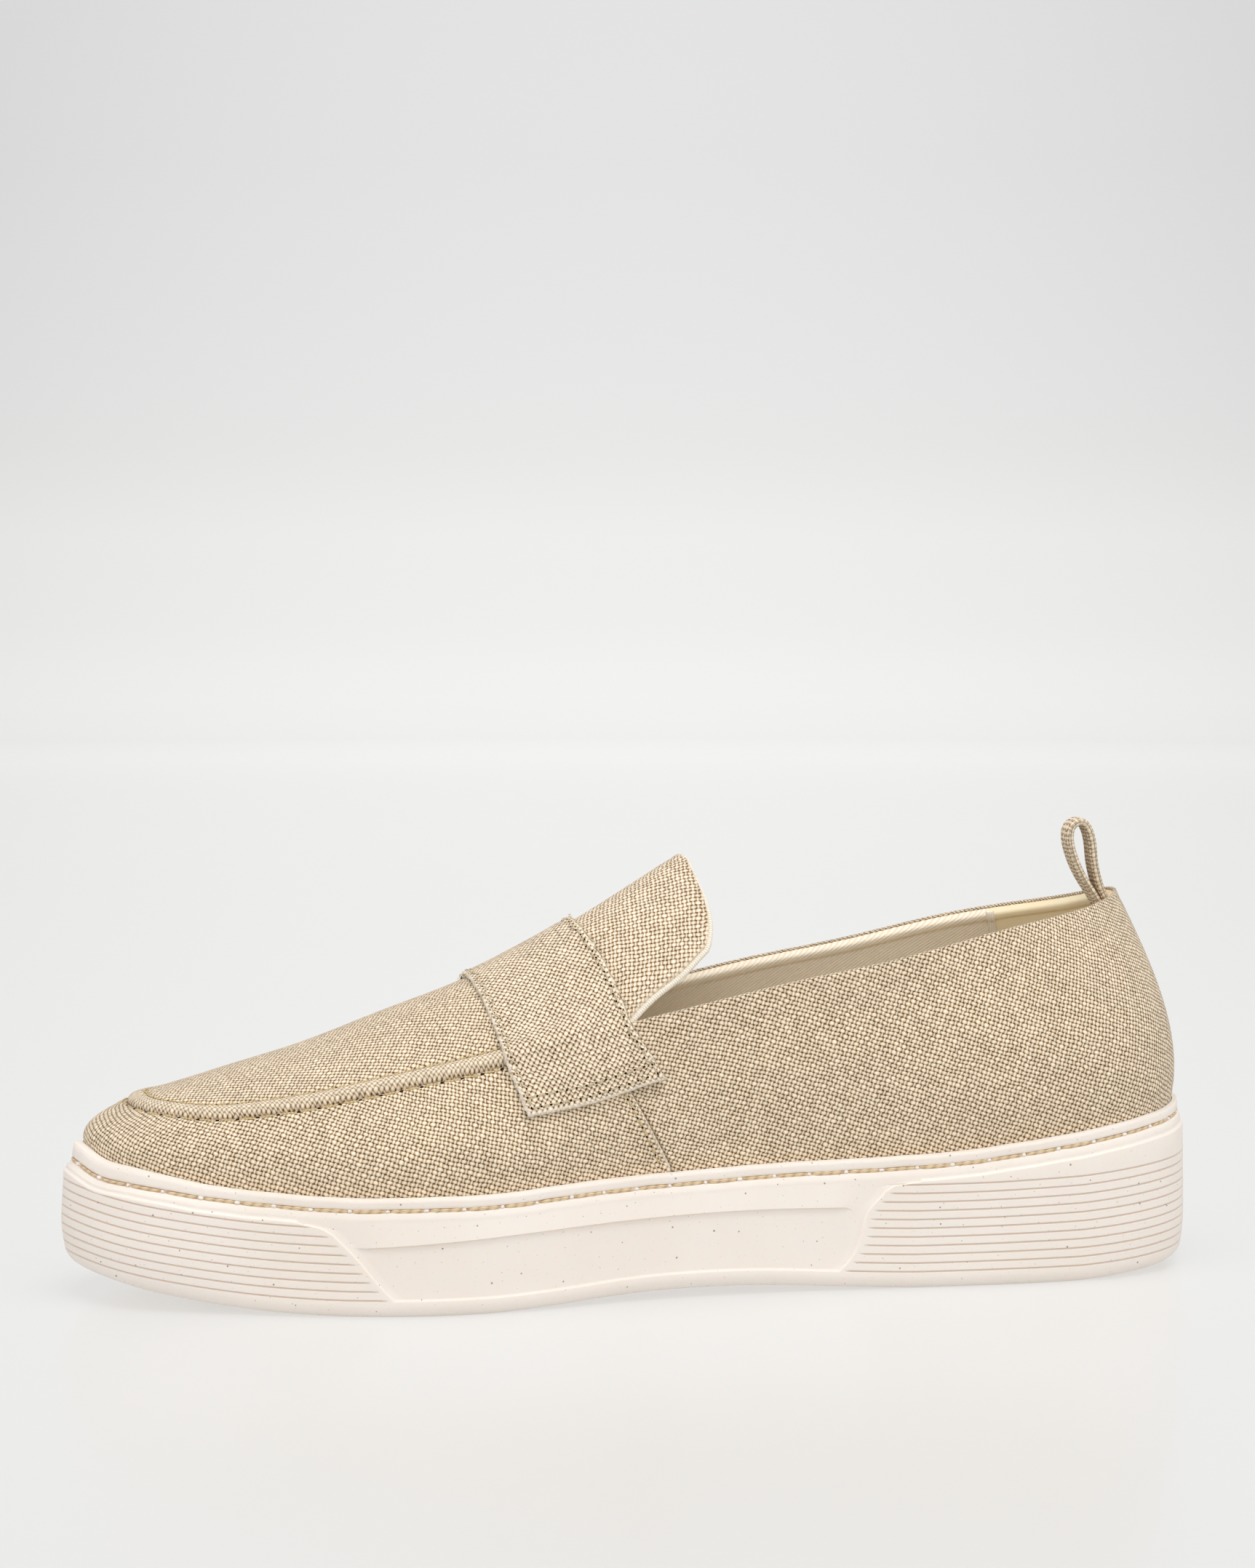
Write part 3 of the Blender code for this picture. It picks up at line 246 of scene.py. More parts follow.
# Stitch rows of the strap: one along each side, two across each end
STRAP_ROWS = (2.5, 3.0, 6.0)
# Lines of the strap at set distances in from its ends and from its sides
STRAP_END_MARKS = [0.0, 0.1, 0.25, 0.45, 0.7, 1.0, 1.5, 2.1, 2.6, 3.0, 3.4, 4.0, 4.8, 5.5, 6.0, 6.5, 7.2]
STRAP_SIDE_MARKS = [0.0, 0.1, 0.25, 0.45, 0.7, 1.0, 1.4, 1.9, 2.2, 2.5, 2.8, 3.2, 3.8, 4.6]
# Cut edges that fray, as lines of the strap's grid
STRAP_FRAY = (
    # edge          line inside     fibres seed reach
    (np.s_[-1],     np.s_[-4],      300,   3,   1.25),
    (np.s_[0],      np.s_[3],       90,    4,   0.6),
    (np.s_[:, 0],   np.s_[:, 3],    45,    5,   0.7),
    (np.s_[:, -1],  np.s_[:, -4],   45,    6,   0.7),
)
# Rows of stitches: pitch, share of it that shows, thread radius, and rise over the cloth in radii
LOWER_ROW = dict(share=0.84, radius=0.22, lift=0.9, slant=0.3, rings=10, sides=8)
UPPER_ROW = dict(pitch=2.85, share=0.82, radius=0.24, lift=0.9)
EDGE_ROW = dict(pitch=2.75, share=0.78, radius=0.20, lift=0.7)
STRAP_ROW = dict(pitch=2.75, share=0.74, radius=0.20, lift=0.75)
# Troughs and swells beside seams and edges, and lines of painted shade there: distance, half width, height or share
VAMP_RELIEF = ((0.0, 0.75, -0.55), (1.9, 1.0, 0.22))
RIDGE_RELIEF = ((0.0, 0.7, -0.55), (RIDGE_WIDTH, 0.45, -0.30), (RIDGE_WIDTH + 2.2, 1.4, 0.16))
RIDGE_PAINTED_SHADE = ((0.0, 0.45, -0.45), (RIDGE_WIDTH, 0.35, -0.5))
COLLAR_RELIEF = ((2.6, 1.0, -0.12),)
HEEL_SEAM_RELIEF = ((0.0, 0.7, -0.35),)
TONGUE_RELIEF = ((3.6, 0.5, -0.28),)
TONGUE_THICK = 2.2
TONGUE_SIDE_GAP = 1.0
TONGUE_SIDE_SHARE = 0.022
# Lines of the tongue at set distances in from its free edges
TONGUE_MARKS = [0.0, 0.15, 0.35, 0.65, 1.0, 1.6, 2.4, 3.4]
# Radius of the tongue's binding at the tip, what it gains down the sides, and from where and over how far
BINDING_THIN, BINDING_MORE, BINDING_START, BINDING_SPAN = 0.34, 0.46, 12.0, 14.0
LOOP_THICK = 2.15
LOOP_WIDTH = 7.5
ARCH_RISE = 0.62
TOE_FAN = 3.0
# How far the weave is turned from each panel's own length, in degrees
VAMP_TURN, APRON_TURN, QUARTER_TURN, TONGUE_TURN, STRAP_TURN = -17.0, -28.0, -20.0, -24.0, 45.0
RIDGE_TURN = 38.0

# Main creases of the upper: soft troughs (negative) and ridges on the walls, in side view
FOLDS = (
    # name                 x0     z0      x1     z1   width depth
    ("ahead of the strap", -44.0, 58.0,  -38.0, 44.0,  5.0, -0.55),
    ("vamp bend front",    -66.0, 52.0,  -54.0, 36.0,  6.5, -0.30),
    ("vamp bend back",     -52.0, 54.0,  -46.0, 38.0,  6.0,  0.35),
    ("toe box edge",       -98.0, 46.0,  -88.0, 35.0,  8.0, -0.30),
    ("behind the seam",      9.0, 60.0,   20.0, 38.0,  7.0, -0.40),
    ("below the collar",    22.0, 66.0,   84.0, 78.0,  7.0, -0.45),
    ("waist hollow",        26.0, 44.0,   58.0, 48.0,  9.0, -0.35),
    ("counter front",       84.0, 74.0,   96.0, 48.0,  7.0,  0.40),
    ("counter hollow",     104.0, 84.0,  116.0, 62.0,  7.0, -0.30),
)

# Stage, in metres and watts
FLOOR_REACH = 1.9
COVE_RADIUS = 0.9
WALL_TOP = 1.6
BACKDROP_ACROSS = (0.978, -0.209, 0.0)
# Painted glow of floor and wall by share of the wall's height
FLOOR_PAINTED_GLOW = (
    (0.0, "#B2B2B1"), (0.006, "#C2C2C1"), (0.013, "#CDCDCC"), (0.025, "#D3D3D2"), (0.08, "#D6D6D4"),
    (0.12, "#D1D1D0"), (0.19, "#D0D0D0"), (0.26, "#D0D0D0"), (0.34, "#D4D4D4"), (0.9, "#D4D4D4"),
)
SOFTBOXES = (
    # name               place                size power colour
    ("overhead softbox", (0.0, -0.25, 1.35), 1.1, 11.6, "#FFFDFA"),
    ("front softbox", (0.0, -1.35, 0.75), 1.2, 3.7, "#FFFFFF"),
    ("toe side softbox", (-1.3, -0.35, 0.75), 1.0, 3.0, "#FFFFFF"),
    ("heel side softbox", (1.3, -0.35, 0.75), 1.0, 3.0, "#FFFFFF"),
)
LIGHT_AIM = (0.0, 0.0, 0.04)
ROOM_LIGHT = 0.34
CAMERA_PLACE = (-0.2727248, -1.2712768, 0.2309250)
CAMERA_YAW = 77.93654
CAMERA_PITCH = -4.46183
CAMERA_LENS = 113.96


# ---------------------------------------------------------------- curves

def slopes(knots, values, closed):
    """Slopes of a smooth cubic through values at knots; a closed one has its last knot one period on."""
    spans = np.diff(knots)
    count = len(spans) if closed else len(knots)
    rates = np.diff(values, axis=0) / spans[:, None]
    matrix = np.zeros((count, count))
    right = np.zeros((count, values.shape[1]))
    for i in range(count):
        if not closed and i in (0, count - 1):
            matrix[i, i] = 2.0
            matrix[i, 1 if i == 0 else i - 1] = 1.0
            right[i] = 3.0 * rates[0 if i == 0 else -1]
            continue
        before = spans[i - 1]
        after = spans[i]
        matrix[i, (i - 1) % count] += after
        matrix[i, i] += 2.0 * (before + after)
        matrix[i, (i + 1) % count] += before
        right[i] = 3.0 * (after * rates[i - 1] + before * rates[i])
    result = np.linalg.solve(matrix, right)
    return np.vstack([result, result[:1]]) if closed else result


class Line:
    """A smooth cubic through a table's rows, read at an array of places at once."""

    def __init__(self, knots, values, closed=False):
        self.knots = np.asarray(knots, float)
        self.values = np.asarray(values, float)
        if self.values.ndim == 1:
            self.values = self.values[:, None]
        self.slopes = slopes(self.knots, self.values, closed)

    def at(self, where):
        where = np.clip(np.asarray(where, float), self.knots[0], self.knots[-1])
        i = np.clip(np.searchsorted(self.knots, where) - 1, 0, len(self.knots) - 2)
        span = (self.knots[i + 1] - self.knots[i])[..., None]
        s = (where - self.knots[i])[..., None] / span
        value = ((1 + 2 * s) * (1 - s) ** 2 * self.values[i] + s * (1 - s) ** 2 * span * self.slopes[i]
                 + s * s * (3 - 2 * s) * self.values[i + 1] - s * s * (1 - s) * span * self.slopes[i + 1])
        return value[..., 0] if value.shape[-1] == 1 else value


def table_line(rows):
    """Line through a table whose first column is the place."""
    return Line([row[0] for row in rows], [row[1:] for row in rows])


def smooth(t):
    t = np.clip(t, 0.0, 1.0)
    return t * t * (3.0 - 2.0 * t)


def blend(a, b, t):
    return a + (b - a) * t


def bezier(p0, p1, p2, p3, t):
    s = 1.0 - t
    return s * s * s * p0 + 3 * s * s * t * p1 + 3 * s * t * t * p2 + t * t * t * p3


def unit(vectors):
    return vectors / np.maximum(np.linalg.norm(vectors, axis=-1, keepdims=True), 1e-9)


def pair(a, b):
    """Two arrays side by side as the last axis of one."""
    return np.stack(np.broadcast_arrays(a, b), axis=-1)


def run_length(points, axis=0):
    """Length along a run of points, from 0 at its start."""
    steps = np.linalg.norm(np.diff(points, axis=axis), axis=-1)
    pad = np.zeros_like(np.take(steps, [0], axis=axis))
    return np.cumsum(np.concatenate([pad, steps], axis=axis), axis=axis)


RIM_LINE = table_line(RIM)
BOTTOM_LINE = table_line(BOTTOM)
FLOOR_LINE = table_line(CUP_FLOOR)
STEP_HEIGHT = table_line(STEP_LINE)
TOE_END = table_line(TOE_PANEL_END)
HEEL_END = table_line(HEEL_PANEL_END)
TONGUE_LINE = Line(range(len(TONGUE)), [row[1:] for row in TONGUE])


# ---------------------------------------------------------------- the last

class Last:
    """Surface of the last, read at arrays of places."""

    def __init__(self):
        rows = [(foot_x, -medial, edge_x, -half, edge_z, *profile)
                for _, foot_x, medial, _, edge_x, half, edge_z, *profile in SECTIONS]
        rows += [(foot_x, lateral, edge_x, half, edge_z, *profile)
                 for _, foot_x, _, lateral, edge_x, half, edge_z, *profile in SECTIONS[-2::-1]]
        rows[-1] = rows[0]
        rows = np.array(rows)
        self.knots = run_length(rows[:, :2])
        self.foot_line = Line(self.knots, rows[:, :2], closed=True)
        self.edge_line = Line(self.knots, rows[:, 2:5], closed=True)
        self.profile_line = Line(self.knots, rows[:, 5:], closed=True)
        crown = [row[1:] for row in CROWN]
        reach = len(crown) - 1
        crown_knots = np.concatenate([-self.knots[reach:0:-1], self.knots[:reach + 1]])
        self.crown_line = Line(crown_knots, crown[:0:-1] + crown)
        self.stations = np.linspace(0.0, HEEL, 721)
        self.station_x = self.foot(self.stations)[:, 0]

    def length(self, place):
        """Length round the foot line at a place."""
        return np.interp(np.mod(place, ROUND), np.arange(ROUND + 1), self.knots)

    def foot(self, place):
        return self.foot_line.at(self.length(place))

    def station_at_x(self, x):
        """Station whose foot line is at x."""
        return np.interp(x, self.station_x, self.stations)

    def station_between(self, first, last, fraction):
        """Station at a fraction of the length between two."""
        rows = np.arange(HEEL + 1)
        ends = np.interp(first, rows, self.knots[:HEEL + 1]), np.interp(last, rows, self.knots[:HEEL + 1])
        return np.interp(blend(*ends, fraction), self.knots[:HEEL + 1], rows)

    def outward(self, place):
        """Unit vector in plan, square to the foot line and out of the shoe."""
        t = self.length(place)
        total = self.knots[-1]
        along = unit(self.foot_line.at(np.mod(t + 0.5, total)) - self.foot_line.at(np.mod(t - 0.5, total)))
        return np.stack([along[..., 1], -along[..., 0]], axis=-1)

    def wall(self, place, v):
        """Point on the wall: v is 0 at the rim of the cupsole and 1 at the edge line."""
        place, v = np.broadcast_arrays(np.asarray(place, float), np.asarray(v, float))
        t = self.length(place)
        foot = self.foot_line.at(t)
        edge = self.edge_line.at(t)
        belly, shoulder, rise, fall = np.moveaxis(self.profile_line.at(t), -1, 0)
        low = RIM_LINE.at(foot[..., 0])
        tall = edge[..., 2] - low
        z = bezier(low, low + rise * tall, edge[..., 2] - fall * tall, edge[..., 2], v)
        spread = bezier(1.0, belly, shoulder, 0.0, v)
        out = self.outward(place)
        lean = foot - edge[..., :2]
        across = (lean * out).sum(-1)[..., None]
        plan = edge[..., :2] + (lean - out * across) * ((edge[..., 2] - z) / tall)[..., None]
        plan = plan + out * across * spread[..., None]
        return np.concatenate([plan, z[..., None]], axis=-1)

    def crown_slope(self, reach):
        """Rise of the crown line for its run; at the toe tip, where it stands still, its usual slope there."""
        run, rise = np.moveaxis(self.crown_line.at(reach + 0.5) - self.crown_line.at(reach - 0.5), -1, 0)
        still = np.abs(run) < 0.05
        return np.where(still, 0.33, rise / np.where(still, 1.0, run))

    def apron(self, place, w):
        """Point on the apron: w is 0 at the edge line and 1 at the crown."""
        place, w = np.broadcast_arrays(np.asarray(place, float), np.asarray(w, float))
        station = station_of(place)
        reach = np.interp(station, np.arange(HEEL + 1), self.knots[:HEEL + 1])
        fan = 1.0 - smooth(station / TOE_FAN)
        return arch_point(self.edge_line.at(self.length(place)), self.crown_line.at(reach),
                          self.crown_slope(reach), w, fan)


def station_of(place):
    """Station of a place on either side."""
    place = np.mod(place, ROUND)
    return np.minimum(place, ROUND - place)


def arch_point(edge, crown, slope, w, fan=0.0):
    """Point of an arch from the edge up to the crown, which it crosses square, or fanned out at the toe."""
    top = np.stack([crown[..., 0], np.zeros_like(crown[..., 0]), crown[..., 1]], axis=-1)
    reach = top - edge
    first = edge + reach * np.array([1 / 3, 1 / 3, ARCH_RISE])
    dx = -reach[..., 0] / 3 * fan
    second = top + np.stack([dx, -reach[..., 1] / 3, slope * dx], axis=-1)
    return bezier(edge, first, second, top, w[..., None])


LAST = Last()
SEAM_RUN = LAST.knots[VAMP_SEAM]


def surface_normal(surface, place, v):
    """Unit normals, out of the shoe, of a surface read as surface(place, v)."""
    place, v = np.broadcast_arrays(np.asarray(place, float), np.asarray(v, float))
    along = surface(place + 0.04, v) - surface(place - 0.04, v)
    up = surface(place, np.minimum(v + 0.02, 1.0)) - surface(place, np.maximum(v - 0.02, 0.0))
    normal = unit(np.cross(along, up))
    spot = surface(place, v)
    # A point well inside the shoe, abreast of the spot
    centre = np.stack([np.clip(spot[..., 0], -105.0, 105.0), np.zeros_like(v), np.full_like(v, 35.0)], axis=-1)
    return normal * np.sign((normal * (spot - centre)).sum(-1))[..., None]


def wall_normal(place, v):
    return surface_normal(LAST.wall, place, v)


def apron_normal(place, w):
    place, w = np.broadcast_arrays(np.asarray(place, float), np.asarray(w, float))
    normal = surface_normal(LAST.apron, place, np.minimum(w, 0.97))
    slope = LAST.crown_slope(np.interp(station_of(place), np.arange(HEEL + 1), LAST.knots[:HEEL + 1]))
    crown = unit(np.stack([-slope, np.zeros_like(slope), np.ones_like(slope)], axis=-1))
    share = smooth((w - 0.8) / 0.19)[..., None]
    return unit(normal * (1.0 - share) + crown * share)


def fold_lift(points):
    """Height of the listed creases at points of the walls."""
    lift = np.zeros(points.shape[:-1])
    spot = points[..., [0, 2]]
    for _, x0, z0, x1, z1, width, depth in FOLDS:
        start = np.array([x0, z0])
        run = np.array([x1 - x0, z1 - z0])
        t = np.clip(((spot - start) @ run) / (run @ run), 0.0, 1.0)
        away = np.linalg.norm(spot - start - t[..., None] * run, axis=-1)
        lift += depth * np.exp(-(away / width) ** 2)
    return lift


def round_edge(distance, radius):
    """Share of full height at a distance in from a rounded edge."""
    t = np.clip(distance / radius, 0.0, 1.0)
    return np.sqrt(np.maximum(1.0 - (1.0 - t) ** 2, 0.0))


def groove(distance, half):
    return np.exp(-(distance / half) ** 2)


def relief(distance, rows):
    """Troughs (negative) and swells from a table of distance, half width and height."""
    return sum(height * groove(distance - place, half) for place, half, height in rows)


# ---------------------------------------------------------------- mesh helpers

class Shell:
    """Collects grids of points into one mesh; each point carries a place on the cloth in millimetres."""

    def __init__(self):
        self.points = []
        self.cloth = []
        self.wear_and_painted_light = []
        self.faces = []
        self.slots = []
        self.count = 0

    def grid(self, points, cloth=None, wear_and_painted_light=0.0, slot=0, around=False, flip=False):
        """Quads over points[row, column]; around joins the last column to the first."""
        rows, columns = points.shape[:2]
        index = np.arange(rows * columns).reshape(rows, columns) + self.count
        if around:
            index = np.concatenate([index, index[:, :1]], axis=1)
        quads = np.stack([index[:-1, :-1], index[:-1, 1:], index[1:, 1:], index[1:, :-1]], axis=-1)
        self.slots.append(np.broadcast_to(slot, quads.shape[:2]).reshape(-1))
        quads = quads.reshape(-1, 4)
        self.faces.append(quads[:, ::-1] if flip else quads)
        self.points.append(points.reshape(-1, 3))
        self.cloth.append(np.zeros((rows * columns, 2)) if cloth is None else cloth.reshape(-1, 2))
        self.wear_and_painted_light.append(np.broadcast_to(wear_and_painted_light, (rows, columns)).reshape(-1))
        self.count += rows * columns

    def build(self, name, materials, merge=False):
        """One mesh object of all the grids."""
        points = (np.concatenate(self.points) - ORIGIN) * MM
        faces = np.concatenate(self.faces)
        cloth = np.concatenate(self.cloth) * MM
        mesh = bpy.data.meshes.new(name)
        mesh.vertices.add(len(points))
        mesh.vertices.foreach_set("co", points.astype(np.float32).ravel())
        mesh.loops.add(faces.size)
        mesh.loops.foreach_set("vertex_index", faces.astype(np.int32).ravel())
        mesh.polygons.add(len(faces))
        mesh.polygons.foreach_set("loop_start", np.arange(0, faces.size, 4, dtype=np.int32))
        mesh.polygons.foreach_set("material_index", np.concatenate(self.slots).astype(np.int32))
        mesh.update(calc_edges=True)
        layer = mesh.uv_layers.new(name="cloth")
        layer.data.foreach_set("uv", cloth[faces.ravel()].astype(np.float32).ravel())
        mark = mesh.attributes.new("wear_and_painted_light", "FLOAT", "POINT")
        mark.data.foreach_set("value", np.concatenate(self.wear_and_painted_light).astype(np.float32))
        mesh.validate()
        mesh.shade_smooth()
        for material in materials:
            mesh.materials.append(material)
        piece = bpy.data.objects.new(name, mesh)
        bpy.context.scene.collection.objects.link(piece)
        if merge:
            weld = piece.modifiers.new("weld", "WELD")
            weld.merge_threshold = 0.01 * MM
        return piece

    def piece(self, name, substances, slot, *nodes, merge=False):
        """Builds the piece and rides it on the shoe, in place of the CAD nodes that it stands for."""
        piece = self.build(name, [substance(key) for key in substances], merge)
        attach(piece, "root")
        if nodes:
            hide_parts(*nodes)


def tube_rings(path, side, radius, sides):
    """Rings of points round a path; side is a vector across the path at each of its points."""
    along = unit(np.gradient(path, axis=0))
    across = unit(side - along * (side * along).sum(-1, keepdims=True))
    over = np.cross(along, across)
    turn = np.linspace(0.0, 2 * math.pi, sides, endpoint=False)
    radius = np.broadcast_to(radius, len(path))[:, None, None]
    return path[:, None] + radius * (np.cos(turn)[None, :, None] * across[:, None]
                                     + np.sin(turn)[None, :, None] * over[:, None])


def read_run(values, lengths, where):
    """Values of a run at lengths along it."""
    return np.stack([np.interp(where, lengths, column) for column in values.T], axis=-1)


# ---------------------------------------------------------------- sheets that pieces are cut from

POINT = slice(0, 3)
NORMAL = slice(3, 6)
CLOTH = slice(6, 8)
EXTRA = 8


def sheet_of(points, normals, cloth, *extras):
    """A grid of points that carries normals, places on the cloth and further values along."""
    parts = [points, normals, cloth] + [np.broadcast_to(extra, points.shape[:2])[..., None] for extra in extras]
    return np.concatenate(parts, axis=-1)


def cut(sheet, marks, axis):
    """Reads a sheet again at marks(total) millimetres along each of its lines."""
    out = []
    for line in np.moveaxis(sheet, 1 - axis, 0):
        length = run_length(line[:, POINT])
        out.append(read_run(line, length, marks(length[-1])))
    return np.stack(out, axis=1 - axis)


def line_in(sheet, distance, axis=0):
    """Line of a sheet at a distance in from its first edge, or a negative one in from its last."""
    line = cut(sheet, lambda total: np.array([distance + (total if distance < 0 else 0.0)]), axis)
    return np.take(line, 0, axis)


def marks(start, middle, end):
    """Marks at set distances in from each end, and a number of even ones between."""
    def read(total):
        share = min(1.0, 0.48 * total / max(start[-1], end[-1], 1e-6))
        first = np.array(start) * share
        last = total - np.array(end)[::-1] * share
        between = np.linspace(first[-1], last[0], middle + 2)[1:-1]
        return np.concatenate([first, between, last])
    return read


def from_ends(sheet, axis):
    """Distance of each point from the first and from the last line."""
    length = run_length(sheet[..., POINT], axis=axis)
    return length, np.take(length, [-1], axis=axis) - length


def lifted(sheet, height):
    """Points of a sheet at a height off it."""
    return sheet[..., POINT] + sheet[..., NORMAL] * np.asarray(height)[..., None]


def grid_normals(points, toward):
    """Unit normals of a grid, on the side of the vector toward."""
    normal = unit(np.cross(np.gradient(points, axis=0), np.gradient(points, axis=1)))
    side = np.sign((normal * toward).sum(-1))
    return normal * np.where(side == 0, 1.0, side)[..., None]


def even_places(first, last, step, fine=()):
    """Places from first to last about one step apart on the foot line, with fine ones at both ends."""
    dense = np.linspace(first, last, 1441)
    length = run_length(LAST.foot(dense))
    fine = np.array(fine)
    edge = fine[-1] if len(fine) else 0.0
    count = int((length[-1] - 2 * edge) / step) + 1
    even = np.linspace(edge, length[-1] - edge, count)
    where = np.concatenate([fine[:-1], even, length[-1] - fine[:-1][::-1]])
    return np.interp(where, length, dense)


def signed_length(place):
    """Length round the foot line from the toe tip, negative on the lateral side."""
    from_toe = np.where(place > HEEL, place - ROUND, place)
    return np.sign(from_toe) * LAST.length(np.abs(from_toe))


def wall_sheet(places, rows=81, tuck=3.0):
    """Outside of the last's wall, from below the rim of the cupsole up to the edge line."""
    v = np.linspace(0.0, 1.0, rows)[:, None]
    place = np.broadcast_to(places[None], (rows, len(places)))
    points = LAST.wall(place, v)
    normals = wall_normal(place, v)
    height = run_length(points)
    below = np.array([tuck, 0.5 * tuck])[:, None]
    skirt = points[:1] - UP * below[..., None]
    skirt[..., :2] -= normals[:1, :, :2] * 0.15
    points = np.concatenate([skirt, points])
    normals = np.concatenate([normals[:1], normals[:1], normals])
    height = np.concatenate([np.broadcast_to(-below, (2, len(places))), height])
    foot, out = LAST.foot(places), LAST.outward(places)
    forward = np.stack([-out[:, 1], out[:, 0]], axis=-1)
    along = signed_length(places) + ((points[..., :2] - foot) * forward).sum(-1)
    cloth = pair(along, height + RIM_LINE.at(foot[:, 0]))
    return sheet_of(points, normals, cloth, places, np.concatenate([[[0.0], [0.0]], v]))


def apron_cloth(points):
    """Place on the apron's cloth: along the crown, and out from it."""
    marks_x = np.linspace(-150.0, -8.0, 285)
    height = np.interp(marks_x, *np.array([row[1:] for row in CROWN]).T)
    along = np.interp(points[..., 0], marks_x, run_length(pair(marks_x, height)))
    drop = np.interp(points[..., 0], marks_x, height) - points[..., 2]
    across = np.sign(points[..., 1]) * np.hypot(points[..., 1], 0.8 * np.maximum(drop, 0.0))
    return pair(along, across)


def apron_sheet(places, rows=121):
    """Outside of the last's apron, from the edge line up to the crown."""
    w = np.linspace(0.0, 1.0, rows)[:, None]
    place = np.broadcast_to(places[None], (rows, len(places)))
    points = LAST.apron(place, w)
    normals = apron_normal(place, w)
    return sheet_of(points, normals, apron_cloth(points), place, w)


# ---------------------------------------------------------------- stitches and holes

def stitch_run(shell, path, normals, pitch, share, radius, sink=0.8, lift=0.55, slant=0.0, sides=6, rings=8):
    """Short threads laid end to end along a path; each dips into the cloth at its needle holes."""
    length = run_length(path)
    across = unit(np.cross(np.gradient(path, axis=0), normals))
    t = np.linspace(0.0, 1.0, rings)
    from_middle = np.abs(2 * t - 1)
    rise = radius * (lift - (lift + sink) * from_middle ** 5)
    taper = radius * np.sqrt(np.clip(1.0 - from_middle ** 8, 0.12, 1.0))
    for k in range(int(length[-1] / pitch)):
        where = (k + 0.5 * (1.0 - share) + t * share) * pitch
        up = unit(read_run(normals, length, where))
        line = (read_run(path, length, where) + up * rise[:, None]
                + read_run(across, length, where) * (slant * (t - 0.5))[:, None])
        round_it = np.arange(sides) * 2 * math.pi * radius / sides
        shell.grid(tube_rings(line, up, taper, sides), pair(where[:, None], round_it), around=True)


def hole_run(shell, path, normals, pitch, radius, sides=8, stretch=1.3):
    """Needle holes: small flat caps in a dark colour, painted shade for the holes' mouths, at the ends of the
    stitches.
    """
    length = run_length(path)
    where = np.arange(int(length[-1] / pitch) + 1) * pitch
    ups = unit(read_run(normals, length, where))
    alongs = read_run(unit(np.gradient(path, axis=0)), length, where)
    turn = np.linspace(0.0, 2 * math.pi, sides, endpoint=False)[:, None]
    for spot, up, along in zip(read_run(path, length, where), ups, alongs):
        mouth = np.cos(turn) * along * stretch + np.sin(turn) * unit(np.cross(up, along))
        ring = [spot + up * high + radius * share * mouth for share, high in ((1.0, 0.0), (0.75, 0.05), (0.02, 0.06))]
        shell.grid(np.array(ring), around=True)


def frayed_ends(shell, path, outward, up, count, seed, reach=1.0):
    """Short loose fibres that stand out of a cut edge of the cloth."""
    chance = np.random.default_rng(seed)
    length = run_length(path)
    where = chance.uniform(0.0, length[-1], count)
    start = read_run(path, length, where)
    out = unit(read_run(outward, length, where))
    rise = unit(read_run(up, length, where))
    along = unit(read_run(np.gradient(path, axis=0), length, where))
    t = np.array([-0.3, 0.3, 0.7, 1.0])
    for k in range(count):
        far, bend, lean = chance.uniform((0.3, -0.7, -0.6), (1.0, 0.7, 0.4)) * reach
        line = (start[k] + out[k] * (far * t)[:, None] + along[k] * (bend * t * t)[:, None]
                + rise[k] * (lean * t * t)[:, None])
        ring = tube_rings(line, np.broadcast_to(rise[k], line.shape), np.array([0.12, 0.12, 0.09, 0.03]), 3)
        shell.grid(ring, np.zeros(ring.shape[:2] + (2,)) + where[k], around=True)


# ---------------------------------------------------------------- materials

def linear(code):
    """Linear colour of an sRGB hex code."""
    values = [int(code[i:i + 2], 16) / 255.0 for i in (1, 3, 5)]
    return tuple(v / 12.92 if v <= 0.04045 else ((v + 0.055) / 1.055) ** 2.4 for v in values) + (1.0,)


def sign_of(operation):
    """The two methods that stand for an arithmetic sign: the value on its left, and on its right."""
    return (lambda value, other: value.nodes.math(operation, value, other),
            lambda value, other: value.nodes.math(operation, other, value))


class Value:
    """Output of a node; arithmetic with it adds math nodes."""
    __add__, __radd__ = sign_of("ADD")
    __sub__, __rsub__ = sign_of("SUBTRACT")
    __mul__, __rmul__ = sign_of("MULTIPLY")
    __truediv__, __rtruediv__ = sign_of("DIVIDE")

    def __init__(self, nodes, socket):
        self.nodes = nodes
        self.socket = socket

    def part(self, output):
        """Another output of the same node."""
        return Value(self.nodes, self.socket.node.outputs[output])


